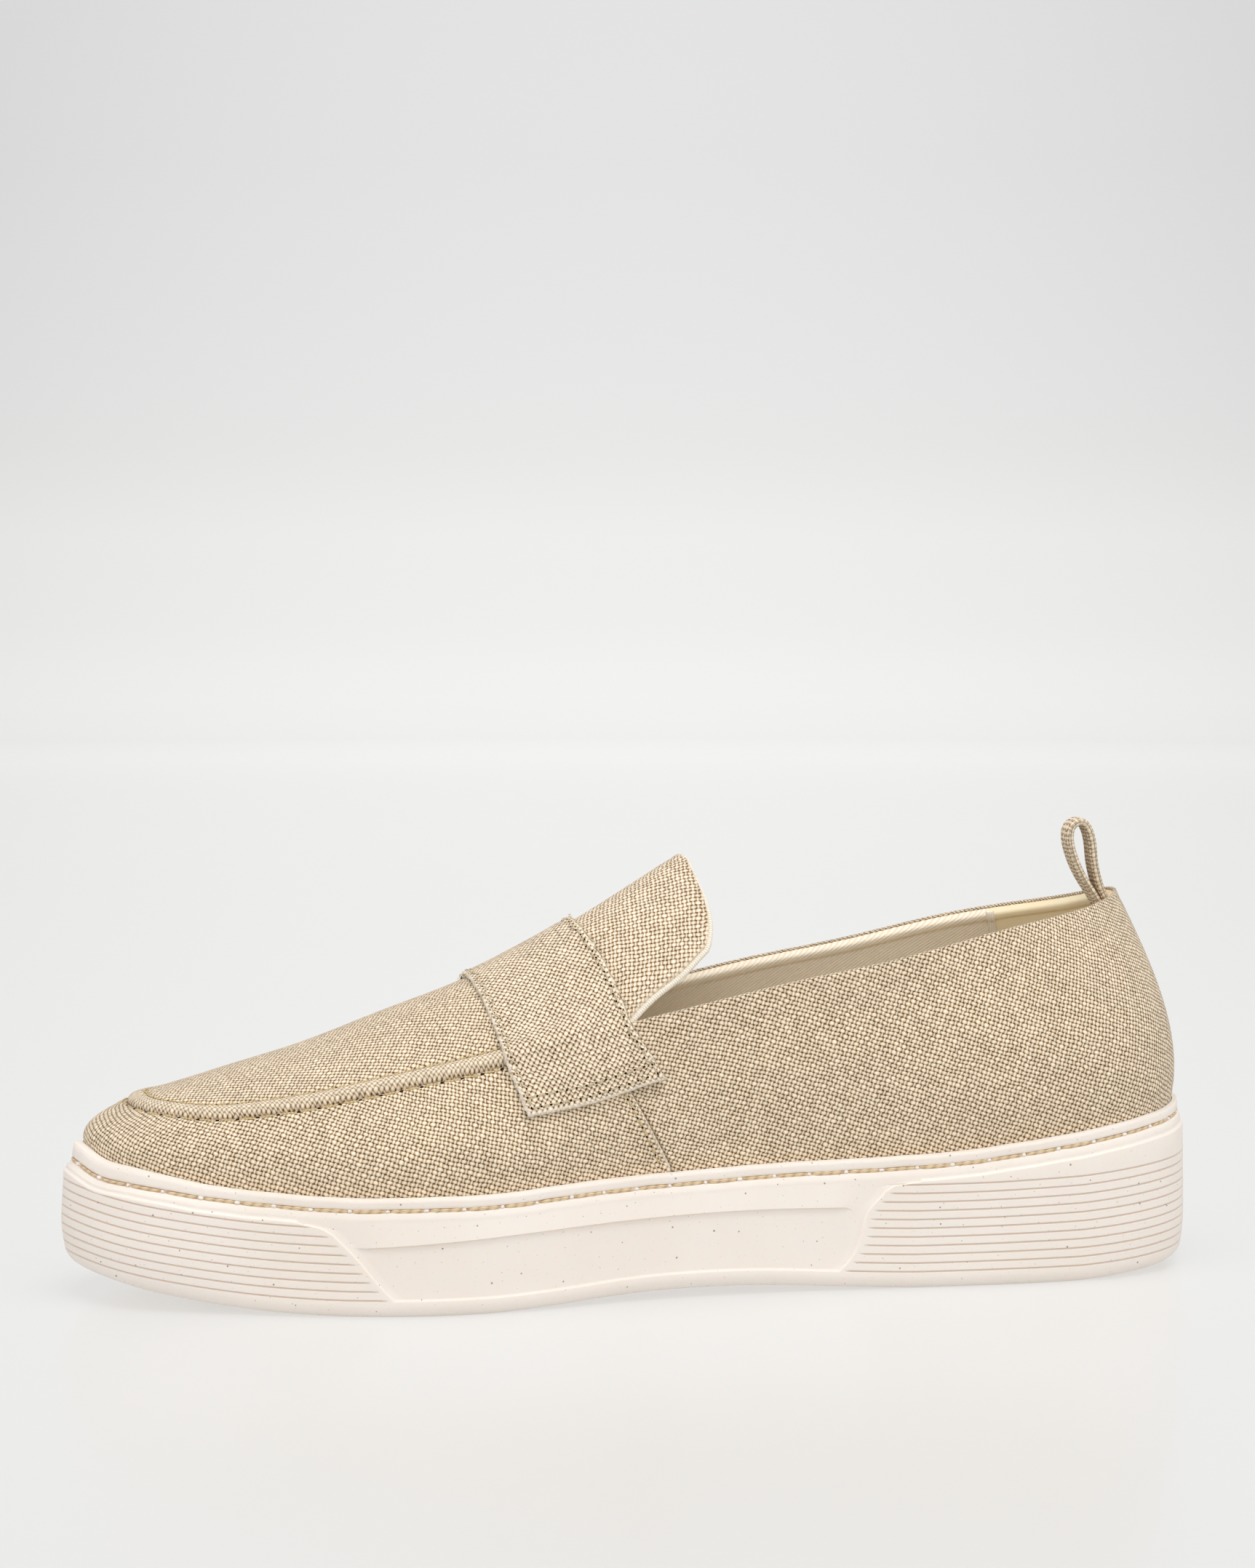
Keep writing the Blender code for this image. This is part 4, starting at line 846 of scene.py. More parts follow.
class Nodes:
    """A material's node tree, and one way to add a node with its settings and links."""

    def __init__(self, name):
        self.material = bpy.data.materials.new(name)
        self.material.use_nodes = True
        self.tree = self.material.node_tree
        self.tree.nodes.clear()

    def add(self, kind, inputs, output=0, **settings):
        node = self.tree.nodes.new("ShaderNode" + kind)
        for key, value in settings.items():
            setattr(node, key, value)
        for key, value in inputs.items():
            if isinstance(value, Value):
                self.tree.links.new(value.socket, node.inputs[key])
            else:
                node.inputs[key].default_value = value
        return Value(self, node.outputs[output]) if node.outputs else None

    def math(self, operation, *values):
        return self.add("Math", dict(enumerate(values)), operation=operation)

    def scaled(self, vector, scale):
        return self.add("VectorMath", {0: vector, "Scale": scale}, operation="SCALE")

    def cloth(self):
        """Place on the cloth, in metres."""
        return self.add("UVMap", {}, uv_map="cloth")

    def wear_and_painted_light(self):
        """Mark over 0 where the cloth is paler at edges, partly from wear and partly painted highlight; under 0 where
        painted shade darkens a crevice or groove.
        """
        return self.add("Attribute", {}, "Fac", attribute_name="wear_and_painted_light")

    def noise(self, vector, size_mm, detail=2.0, roughness=0.5, output=0):
        return self.add("TexNoise", {"Vector": vector, "Scale": 1.0 / (size_mm * MM), "Detail": detail,
                                     "Roughness": roughness}, output)

    def mix(self, share, a, b, mode="MIX"):
        return self.add("Mix", {0: share, 6: a, 7: b}, 2, data_type="RGBA", blend_type=mode)

    def ramp(self, value, *stops):
        colour = self.add("ValToRGB", {0: value})
        elements = colour.socket.node.color_ramp.elements
        while len(elements) < len(stops):
            elements.new(0.5)
        for element, (position, code) in zip(elements, stops):
            element.position = position
            element.color = linear(code)
        return colour

    def bump(self, height, depth_mm, strength=1.0):
        return self.add("Bump", {"Height": height, "Distance": depth_mm * MM, "Strength": strength})

    def finish(self, inputs):
        self.add("OutputMaterial", {"Surface": self.add("BsdfPrincipled", inputs)})
        return self.material


# Widths of the linen's two sets of threads, as shares of their pitch
WARP_WIDTH = 0.56
WEFT_WIDTH = 0.80
# Dark flecks of filler in the rubber: pitch and size in mm, and how dark they are
FLECKS = ((10.5, 0.24, 0.62), (5.2, 0.14, 0.38), (2.6, 0.09, 0.24))


def woven_linen(name, light, mid, gap, pale_edge_and_highlight, thread_mm=1.12, depth_mm=0.34, slub=0.30):
    """Plain-woven flax: coarse spun threads over and under, uneven in thickness and tone, with dark gaps of painted
    shade.
    """
    n = Nodes(name)
    cloth = n.cloth()
    # The threads wander a little off straight
    wander = n.add("VectorMath", {0: n.noise(cloth, 5.5, output="Color"), 1: (0.5, 0.5, 0.5)}, operation="SUBTRACT")
    cloth = n.add("VectorMath", {0: cloth, 1: n.scaled(wander, 1.2 * MM)}, operation="ADD")
    a = n.add("SeparateXYZ", {0: n.scaled(cloth, 1.0 / (thread_mm * MM))})
    b = a.part(1)
    row_a, row_b = n.math("FLOOR", a), n.math("FLOOR", b)
    in_a, in_b = a - row_a - 0.5, b - row_b - 0.5
    parity = n.math("MODULO", n.math("ABSOLUTE", row_a + row_b), 2.0)
    crossing = n.add("TexWhiteNoise", {"Vector": n.add("CombineXYZ", {0: row_a, 1: row_b})}, "Value",
                     noise_dimensions="2D")
    over = parity * 2.0 - 1.0

    def thread(row, across, along, place_along, sign, thick, noise_seed, tone_seed):
        """Height and tone of one set of threads."""
        spot = n.add("CombineXYZ", {0: row * 7.31, 1: place_along * 0.31, 2: noise_seed})
        uneven = n.noise(spot, 1.0 / MM, roughness=0.6)
        width = thick + (uneven - 0.5) * slub + (crossing - 0.5) * 0.12
        u = across * 2.0 / width
        body = n.math("SQRT", n.math("MAXIMUM", 1.0 - u * u, 0.0))
        rise = n.math("COSINE", along * math.pi) * (over * sign)
        height = (body * (0.35 + width * 0.2) + rise * 0.38) * n.math("GREATER_THAN", body, 0.02)
        tone = n.add("TexWhiteNoise", {"W": row + tone_seed}, "Value", noise_dimensions="1D")
        return height, tone * 0.28 + uneven * 0.27 + crossing * 0.40

    warp, warp_tone = thread(row_a, in_a, in_b, b, 1.0, WARP_WIDTH, 3.7, 0.5)
    weft, weft_tone = thread(row_b, in_b, in_a, a, -1.0, WEFT_WIDTH, 11.9, 1003.5)
    height = n.math("MAXIMUM", warp, weft)
    warp_on_top = n.math("GREATER_THAN", warp, weft)
    tone = warp_on_top * warp_tone + (1.0 - warp_on_top) * weft_tone
    # Colour follows the threads' height: painted shade darkens the low gaps to the gap colour and the threads' flanks
    # toward it
    colour = n.ramp(height, (0.06, gap), (0.42, mid), (0.84, light))
    tint = 0.79 + (tone * 0.32 + n.noise(cloth, 22.0, 3.0) * 0.08)
    tint = n.add("CombineColor", {0: tint, 1: tint, 2: tint * 1.04 - 0.04})
    colour = n.mix(1.0, colour, tint, "MULTIPLY")
    # Marks over 0 pale the cloth: partly wear, partly painted highlight. Marks under 0 paint shade into crevices with
    # the gap colour
    wear_and_painted_light = n.wear_and_painted_light()
    colour = n.mix(n.math("MAXIMUM", wear_and_painted_light, 0.0) * 0.8, colour, linear(pale_edge_and_highlight))
    colour = n.mix(n.math("MAXIMUM", wear_and_painted_light * -1.0, 0.0) * 0.9, colour, linear(gap))
    surface = height + n.noise(cloth, 0.12) * 0.18
    return n.finish({"Base Color": colour, "Roughness": 0.86, "IOR": 1.46, "Specular IOR Level": 0.12,
                     "Sheen Weight": 0.18, "Sheen Roughness": 0.5, "Normal": n.bump(surface, depth_mm)})


def ribbed_twill(name, pitch_mm, light, dark, angle=0.0):
    """Cotton twill: fine slanting ribs, softly notched by the threads that cross them, with painted shade in the
    troughs between ribs.
    """
    n = Nodes(name)
    cloth = n.add("VectorRotate", {"Vector": n.cloth(), "Angle": angle}, rotation_type="Z_AXIS")
    a = n.add("SeparateXYZ", {0: n.scaled(cloth, 1.0 / (pitch_mm * MM))})
    rib = n.math("ABSOLUTE", n.math("SINE", (a.part(1) + a * 0.75) * math.pi))
    notch = n.math("ABSOLUTE", n.math("SINE", a * (2.2 * math.pi)))
    height = rib * (0.8 + notch * 0.2)
    colour = n.ramp(height * 0.8 + n.noise(cloth, 0.4, 3.0) * 0.3, (0.1, dark), (0.85, light))
    return n.finish({"Base Color": colour, "Roughness": 0.88, "IOR": 1.46, "Specular IOR Level": 0.2,
                     "Sheen Weight": 0.15, "Normal": n.bump(height, 0.12)})


def brushed_suede(name, light, dark):
    """Sueded microfibre: short brushed nap, matt, mottled where the nap lies different ways."""
    n = Nodes(name)
    cloth = n.cloth()
    nap = n.noise(cloth, 0.6, 5.0, 0.7)
    colour = n.ramp(nap * 0.6 + n.noise(cloth, 12.0) * 0.4, (0.25, dark), (0.75, light))
    return n.finish({"Base Color": colour, "Roughness": 0.95, "IOR": 1.45, "Specular IOR Level": 0.15,
                     "Sheen Weight": 0.4, "Sheen Roughness": 0.45, "Normal": n.bump(nap, 0.1, 0.8)})


def moulded_rubber(name, dark, light, crevice_shade, fleck):
    """Moulded natural-look rubber: matt cream with tiny dark flecks of filler, a soft mould bloom, and painted shade
    in its grooves.
    """
    n = Nodes(name)
    cloth = n.cloth()
    solid = n.add("TexCoord", {}, "Object")
    colour = n.ramp(n.noise(solid, 30.0, 3.0), (0.3, dark), (0.7, light))
    grain = n.noise(solid, 0.5)
    for pitch_mm, fleck_mm, strength in FLECKS:
        cell = n.add("TexVoronoi", {"Vector": cloth, "Scale": 1.0 / (pitch_mm * MM), "Randomness": 1.0}, "Distance",
                     voronoi_dimensions="2D")
        pick = n.add("SeparateColor", {0: cell.part("Color")})
        near = n.math("LESS_THAN", cell, (pick + grain * 0.9) * (0.8 * fleck_mm / pitch_mm))
        colour = n.mix(near * n.math("GREATER_THAN", pick, 0.30) * strength, colour, linear(fleck))
    # Painted shade: lines and grooves with a mark under 0 are darkened toward the tan shade colour
    colour = n.mix(n.math("MAXIMUM", n.wear_and_painted_light() * -0.45, 0.0), colour, linear(crevice_shade))
    surface = n.noise(solid, 0.4, 4.0) * 0.15 + n.noise(solid, 6.0)
    return n.finish({"Base Color": colour, "Roughness": 0.52, "IOR": 1.52, "Specular IOR Level": 0.4,
                     "Subsurface Weight": 0.12, "Subsurface Scale": 1.5 * MM, "Normal": n.bump(surface, 0.09, 0.7)})


def spun_thread(name, light, dark, twist_mm=0.9):
    """Plied sewing thread: soft slanting strands with a dull sheen, and painted shade between the strands."""
    n = Nodes(name)
    cloth = n.cloth()
    a = n.add("SeparateXYZ", {0: n.scaled(cloth, 1.0 / (twist_mm * MM))})
    strand = n.math("ABSOLUTE", n.math("SINE", (a + a.part(1)) * math.pi))
    colour = n.ramp(strand * 0.7 + n.noise(cloth, 0.2, 3.0) * 0.4, (0.15, dark), (0.9, light))
    return n.finish({"Base Color": colour, "Roughness": 0.72, "IOR": 1.5, "Specular IOR Level": 0.3,
                     "Sheen Weight": 0.2, "Normal": n.bump(strand, 0.08)})


def plain_matt(name, code):
    """Painted shade of a needle hole's unlit inside: a flat dark matt colour."""
    return Nodes(name).finish({"Base Color": linear(code), "Roughness": 0.9, "Specular IOR Level": 0.1})


# What each piece is made of: the substance, its name, and its colours from light to dark
SUBSTANCES = {
    # The upper's natural flax in three cuttings, and the loop's: light, mid and gap colours, the gap colour also
    # painting shade in crevices, then a paler colour for edges, partly worn and partly painted highlight
    "linen": (woven_linen, "woven flax linen, upper", "#FFF2DE", "#DABE97", "#624522", "#F6E6CE"),
    "strap": (woven_linen, "woven flax linen, strap", "#FFF3E1", "#DEC39D", "#624522", "#FFF4E2"),
    "tongue": (woven_linen, "woven flax linen, tongue", "#FFF3E1", "#E0C59F", "#6C4C2A", "#F0DFC6"),
    "loop": (woven_linen, "woven flax linen, loop", "#FFF2DE", "#DABE97", "#624522", "#EAD9BE"),
    # Cotton inside the quarters and vamp, and folded over the tongue's edge
    "twill": (ribbed_twill, "cotton twill lining", 0.95, "#FFF9EC", "#F8DDB6"),
    "tape": (ribbed_twill, "cream edge tape", 0.8, "#FFF8EC", "#E8D6B6", 0.9),
    # Microfibre round the heel and under the foot
    "suede": (brushed_suede, "sueded heel lining", "#FFF6DA", "#FEE9C0"),
    "footbed": (brushed_suede, "sueded footbed cover", "#EADDC2", "#CDB994"),
    # Rubber: two tones of cream, a tan for painted shade in its grooves, and the flecks' colour
    "rubber": (moulded_rubber, "moulded cream rubber", "#F9EEE3", "#FCF2E9", "#D9B99E", "#4E3E30"),
    "thread": (spun_thread, "plied flax thread", "#EBD69F", "#B4965A"),
    "welt thread": (spun_thread, "plied welt thread", "#F3DDB8", "#BF9763", 2.6),
    "fine thread": (spun_thread, "fine sewing thread", "#F2E5C9", "#C6AF82", 0.5),
    # Flat dark colour that paints the shade inside needle holes
    "hole": (plain_matt, "needle hole", "#2C2114"),
}


def substance(key):
    """A material, made the first time that a piece asks for it."""
    maker, name, *settings = SUBSTANCES[key]
    return bpy.data.materials.get(name) or maker(name, *settings)


# ---------------------------------------------------------------- cupsole

SOLE_TOE, SOLE_WAIST, SOLE_HEEL = range(3)


def weight_along(x, toe, side, heel):
    """Value that is toe at the toe tip, side along the waist and heel at the back of the heel."""
    share = smooth((np.abs(x) - 90.0) / 48.0)
    return blend(side, np.where(x < 0, toe, heel), share)


def lip_height(x, z):
    """Height over the rim of a line of the lip, which grows taller round the toe tip."""
    toe = weight_along(x, 1.0, 0.0, 0.0) ** 3
    return z * (1.0 + LIP_TOE_GROWTH * toe) + LIP_TOE_RISE * toe


def bottom_height(x, side):
    """Height of the bottom edge of one side."""
    both = BOTTOM_LINE.at(x)
    return np.maximum(both[..., 0] if side < 0 else both[..., 1], 0.0)


def sole_columns():
    """Zone, fraction of the zone, and set distance from the slanted end beside it, of each column."""
    columns = [(SOLE_TOE, i / TOE_COLUMNS, 0.0) for i in range(TOE_COLUMNS)]
    columns += [(SOLE_WAIST, 0.0, mark) for mark in END_MARKS]
    columns += [(SOLE_WAIST, i / WAIST_COLUMNS, 0.0) for i in range(1, WAIST_COLUMNS)]
    columns += [(SOLE_WAIST, 1.0, -mark) for mark in END_MARKS[::-1]]
    columns += [(SOLE_HEEL, i / HEEL_COLUMNS, 0.0) for i in range(1, HEEL_COLUMNS + 1)]
    return np.array(columns).T


def sole_stations(zone, fraction, mark, z):
    """Stations of the columns at height z: they lean with the slanted ends of the panels."""
    toe_x, heel_x = TOE_END.at(z), HEEL_END.at(z)
    into, past = END_MARKS[0] - 0.6, END_MARKS[-1] + 0.6
    at_x, between = LAST.station_at_x, LAST.station_between
    return np.select([zone == SOLE_TOE, zone == SOLE_HEEL, fraction == 0.0, fraction == 1.0],
                     [between(0.0, at_x(toe_x + into), fraction), between(at_x(heel_x - into), HEEL, fraction),
                      at_x(toe_x + mark), at_x(heel_x + mark)],
                     between(at_x(toe_x + past), at_x(heel_x - past), fraction))


def sole_lines():
    """Lines of the side from inside the lip down to the floor: kind, and what the kind needs."""
    return ([("inside", *line) for line in LIP_INSIDE] + [("lip", *line) for line in LIP_SHAPE]
            + [("top", high) for high in TOP_LINES]
            + [("rib", group, mark) for group in reversed(range(RIB_GROUPS)) for mark in RIB_MARKS]
            + [("bevel", share) for share in BEVEL_LINES])


class SoleSide:
    """What is known of the columns of one side of the cupsole, at heights z."""

    def __init__(self, columns, side, z, stitch):
        zone, fraction, _ = columns
        station = sole_stations(*columns, z)
        place = station if side == MEDIAL else ROUND - station
        self.foot, self.out = LAST.foot(place), LAST.outward(place)
        self.x = x = self.foot[:, 0]
        self.run = signed_length(place)
        self.lip, self.bevel = weight_along(x, *LIP), weight_along(x, *BEVEL)
        self.pull = groove(np.mod(self.run, stitch) - 0.5 * stitch, PULL_HALF)
        self.rim = RIM_LINE.at(x) + RIM_WAVE * np.sin(self.run / 3.1) * np.sin(self.run / 7.7)
        self.bottom = bottom_height(x + self.out[:, 0] * (self.lip + PANEL_RAISE), side)
        self.step = STEP_HEIGHT.at(x)
        self.in_waist = (zone == SOLE_WAIST) * smooth(WAIST_FADE * fraction) * smooth(WAIST_FADE * (1.0 - fraction))

    def height(self, kind, *line):
        if kind == "rib":
            return self.rib_height(*line)
        if kind == "bevel":
            return self.bottom + self.bevel * line[0]
        return self.rim + (line[0] if kind == "top" else lip_height(self.x, line[1]))

    def rib_height(self, group, mark):
        """Ribs stand at an even pitch; the toe panel's are fewer, and in the waist the lines follow the step."""
        foot = self.bottom + RIB_START
        pitch = RIB_PITCH + RIB_SPREAD * smooth((self.x - 80.0) / 60.0)
        heel = foot + pitch * group + mark * RIB_HALF
        toe = heel
        if group >= TOE_RIBS:
            top = foot + pitch * (TOE_RIBS - 1) + RIB_MARKS[0] * RIB_HALF
            spare = (group - TOE_RIBS + 1) * 0.45 + (mark / RIB_MARKS[0] - 1.0) * 0.2
            toe = top + np.maximum(self.rim - RIBS_END - top, 0.2) * np.clip(spare / 1.1, 0.02, 0.98)
        if group <= STEP_GROUP:
            waist = blend(foot, self.step, group / STEP_GROUP)
            squeeze = 0.55 if group == STEP_GROUP else 1.0
        else:
            waist = blend(self.step, self.rim - WAIST_END, (group - STEP_GROUP) / (RIB_GROUPS - STEP_GROUP))
            squeeze = 0.6
        return blend(blend(toe, heel, smooth((self.x + 40.0) / 80.0)), waist + mark * RIB_HALF * squeeze,
                     self.in_waist)

    def offset(self, z, kind, *line):
        """How far out of the foot line a line is at heights z, and how deep it lies in a groove, which sets its
        painted shade.
        """
        x, deep = self.x, np.zeros(z.shape)
        if kind == "inside":
            return deep + line[0], deep
        if kind == "lip":
            slide, high = line
            lean = weight_along(x, *LEAN) * (high + 5.4)
            tug = PULL_LIP * self.pull if high < -0.5 else 0.0
            # Lines in the welt groove under the lip get painted shade
            return np.maximum(self.lip + slide - tug - lean, LIP_LEAST), deep + (-4.8 < high < -4.0)
        into = np.where(x < 0, TOE_END.at(z) - x, x - HEEL_END.at(z))
        raised = round_edge(into + PANEL_EDGE * 0.9, PANEL_EDGE)
        level = round_edge(self.rim - PANEL_DROP + 0.25 - z, 0.55)
        band = round_edge(self.bottom + BAND_HEIGHT - z, 0.5)
        tuck = np.clip(1.0 - (z - self.bottom) / TUCK_HEIGHT, 0.0, 1.0) ** 2
        offset = (self.lip + WALL_STEP + PANEL_RAISE * np.maximum(raised * level, band)
                  + weight_along(x, *DRAFT) * (self.rim - z) / (self.rim - self.bottom)
                  - weight_along(x, *TUCK) * tuck - PULL_WALL * self.pull * groove(z - self.rim + 5.6, 0.8))
        fade = smooth((x - STEP_LINE[0][0]) / STEP_FADE) * smooth((STEP_LINE[-1][0] - x) / STEP_FADE) * (1.0 - raised)
        rise = np.clip((z - self.step) / np.maximum(self.rim - 7.2 - self.step, 0.5), 0.0, 1.0)
        over = np.where(z > self.step - 0.12, STEP_RELIEF * (1.0 - rise), -0.2 * groove(z - self.step, 1.3))
        offset += over * fade * (1.0 - band)
        if kind == "rib":
            group, mark = line
            live = (x >= 0) | (group < TOE_RIBS)
            cut_in = np.clip((1.0 - abs(mark)) / 0.65, 0.0, 1.0) * smooth((into - 1.5) / 1.2) * live
            offset -= RIB_DEPTH * cut_in
            # Painted shade in the ribs' grooves and along the waist's step line
            deep = cut_in + 0.6 * (group == STEP_GROUP and abs(mark) < 0.5) * fade
        elif kind == "bevel":
            offset -= self.bevel * (1.0 - np.sqrt(1.0 - 0.96 * (1.0 - line[0]) ** 2))
        return offset, deep


def sole_grid(side, stitch):
    """One side of the cupsole, a row for each line: point, run along the foot line, and painted shade (a mark under
    0).
    """
    columns = sole_columns()
    above = np.full(columns.shape[1], 60.0)
    grid = []
    for kind, *line in sole_lines():
        z = above
        for _ in range(3):
            at = SoleSide(columns, side, z, stitch)
            z = np.minimum(at.height(kind, *line), above - 0.015)
        offset, deep = at.offset(z, kind, *line)
        grid.append(np.column_stack([at.foot + at.out * offset[:, None], z, at.run, -deep]))
        above = z
    return np.array(grid)


def make_cupsole(sizes):
    """The moulding: both sides, the underside with its tread, and the inside of the cup."""
    medial, lateral = (sole_grid(side, sizes.welt_stitch / MM) for side in (MEDIAL, LATERAL))
    ring = np.concatenate([medial, lateral[:, -2:0:-1]], axis=1)
    shell = Shell()
    shell.grid(ring[..., :3], ring[..., [3, 2]], wear_and_painted_light=ring[..., 4], around=True)
    add_sole_bottom(shell, medial[-1], lateral[-1])
    add_cup_inside(shell)
    shell.piece("cupsole_moulding", ["rubber"], "sole_rubber", "cupsole", merge=True)


def add_sole_bottom(shell, medial, lateral):
    """Flat underside: lines across the sole that bow with the tread grooves."""
    first, last = medial[:, 0].min() + 0.05, medial[:, 0].max() - 0.05
    half_groove = 0.5 * TREAD_WIDTH
    lines = list(PLAIN_LINES)
    for gap in END_GAPS:
        lines += [first + gap, last - gap]
    for x, _ in TREAD_ROWS:
        lines += [x - half_groove - 0.02, x - half_groove + 0.12, x + half_groove - 0.12, x + half_groove + 0.02,
                  x + 5.0]
    share = np.linspace(-1.0, 1.0, 49)
    share = 0.5 * (np.sign(share) * np.abs(share) ** 0.8 + 1.0)
    grid = []
    for line in np.unique(lines):
        half = next((half for x, half in TREAD_ROWS if abs(x - line) < 6.0), 40.0)
        straight = smooth((last - 4.0 - line) / 20.0) * smooth((line - first - 4.0) / 20.0)
        x = np.full(share.shape, line)
        for _ in range(4):
            inside = np.clip(x, first, last)
            y = blend(*(np.interp(inside, side[:, 0], side[:, 1]) for side in (medial, lateral)), share)
            x = line + TREAD_SWEEP * np.clip(np.abs(y) / half, 0.0, 1.0) ** 2 * straight
        z = blend(*(np.interp(x, side[:, 0], side[:, 2]) for side in (medial, lateral)), share)
        if any(abs(x0 - line) < half_groove - 0.05 for x0, _ in TREAD_ROWS):
            z = z + TREAD_DEPTH * smooth(half - np.abs(y))
        grid.append(np.column_stack([x, y, z]))
    grid = np.array(grid)
    shell.grid(grid, grid[..., :2], flip=True)


def add_cup_inside(shell):
    """Inside of the cup below the upper, down to its floor."""
    places = even_places(0.0, ROUND - 0.001, 4.0)
    foot, out = LAST.foot(places), LAST.outward(places)
    rim, floor = RIM_LINE.at(foot[:, 0]), FLOOR_LINE.at(foot[:, 0])
    rows = [np.column_stack([foot + out * LIP_INSIDE[0][0], z]) for z in (rim - 1.4, floor)]
    rows += [np.column_stack([foot * np.array([1.0, share]), floor]) for share in (0.6, 0.25, 0.0)]
    shell.grid(np.array(rows), around=True, flip=True)


def rubber_burrs(shell, seat, outward, spots):
    """Small torn lumps of rubber that the needle pushed up over the thread at each of its holes."""
    chance = np.random.default_rng(11)
    turn = np.linspace(0.0, 2 * math.pi, 8, endpoint=False)
    for spot in spots:
        along = unit(seat[(spot + 1) % len(seat)] - seat[spot])
        long, tall, tip, slip = chance.uniform((0.45, 0.34, -0.3, -0.3), (0.85, 0.55, 0.3, 0.3))
        rings = []
        for proud, size in ((-0.8, 1.0), (0.0, 1.0), (0.22, 0.85), (0.42, 0.5), (0.5, 0.04)):
            above = max(proud, 0.0)
            ragged = size * (1.0 + 0.18 * chance.uniform(-1.0, 1.0, len(turn)) * (above > 0.0))
            across = np.cos(turn) * long * ragged + slip * above
            up = np.sin(turn) * tall * ragged + tip * above
            rings.append(seat[spot] + outward[spot] * proud + across[:, None] * along + up[:, None] * UP)
        shell.grid(np.array(rings), slot=1, around=True)


def make_welt_thread(sizes):
    """Twisted thread along the groove under the lip; it dips at each stitch's hole."""
    stitch = sizes.welt_stitch / MM
    places = even_places(0.0, ROUND - 0.0005, 0.55)
    foot, out = LAST.foot(places), LAST.outward(places)
    x, run = foot[:, 0], signed_length(places)
    pull = groove(np.mod(run, stitch) - 0.5 * stitch, 0.9)
    ends = weight_along(x, 1.0, 0.0, 0.8)
    offset = weight_along(x, *LIP) - 0.95 * weight_along(x, *LEAN) - WELT_INSET - 0.10 * ends
    level = RIM_LINE.at(x) + lip_height(x, WELT_LEVEL)
    seat = np.column_stack([foot + out * offset[:, None], level])
    path = np.column_stack([foot + out * (offset - WELT_DIP * pull)[:, None], level])
    across = np.column_stack([out, np.zeros(len(places))])
    turn = np.linspace(0.0, 2 * math.pi, WELT_SIDES, endpoint=False)
    length = run_length(path)[:, None]
    strands = 1.0 + 0.05 * np.cos(2 * (turn - 2 * math.pi * length / WELT_TWIST))
    radius = ((WELT_RADIUS - 0.10 * ends) * (1.0 - 0.35 * pull))[:, None] * strands
    rings = tube_rings(path, across, 1.0, WELT_SIDES) - path[:, None]
    shell = Shell()
    shell.grid(path[:, None] + rings * radius[..., None], pair(length, turn * 0.48), around=True)
    rubber_burrs(shell, seat, across, np.flatnonzero(np.diff(np.floor(run / stitch - 0.5))))
    shell.piece("welt_thread", ["welt thread", "rubber"], "sole_rubber")


# ---------------------------------------------------------------- footbed and linings

def make_footbed():
    """Cover over the insole, rounded down at its edge."""
    places = even_places(0.0, ROUND - 0.001, 2.2)
    foot, out = LAST.foot(places), LAST.outward(places)

    def row(plan, drop=0.0):
        return np.column_stack([plan, FLOOR_LINE.at(plan[:, 0]) + FOOTBED_THICK - drop])

    rows = [row(foot - out * inset, drop) for inset, drop in FOOTBED_EDGE]
    edge = rows[-1][:, :2]
    for share in (0.8, 0.6, 0.4, 0.2, 0.0):
        plan = edge * np.array([1.0, share])
        plan[:, 0] = np.clip(plan[:, 0], *FOOTBED_ENDS)
        rows.append(row(plan))
    rows = np.array(rows)
    shell = Shell()
    shell.grid(rows, rows[..., :2], around=True, flip=True)
    shell.piece("footbed_cover", ["footbed"], "footbed", "insole")


def padded_roll(down):
    """Thickness of the lining's padded roll at a distance down from the collar's edge."""
    t = np.clip((down - ROLL_START) / ROLL_TALL, 0.0, 1.0)
    valley = 0.16 * groove(down - ROLL_START - ROLL_TALL - 0.3, 0.5)
    return ROLL_THICK * np.sqrt(np.maximum(1.0 - (2.0 * t - 1.0) ** 2, 0.0)) - valley


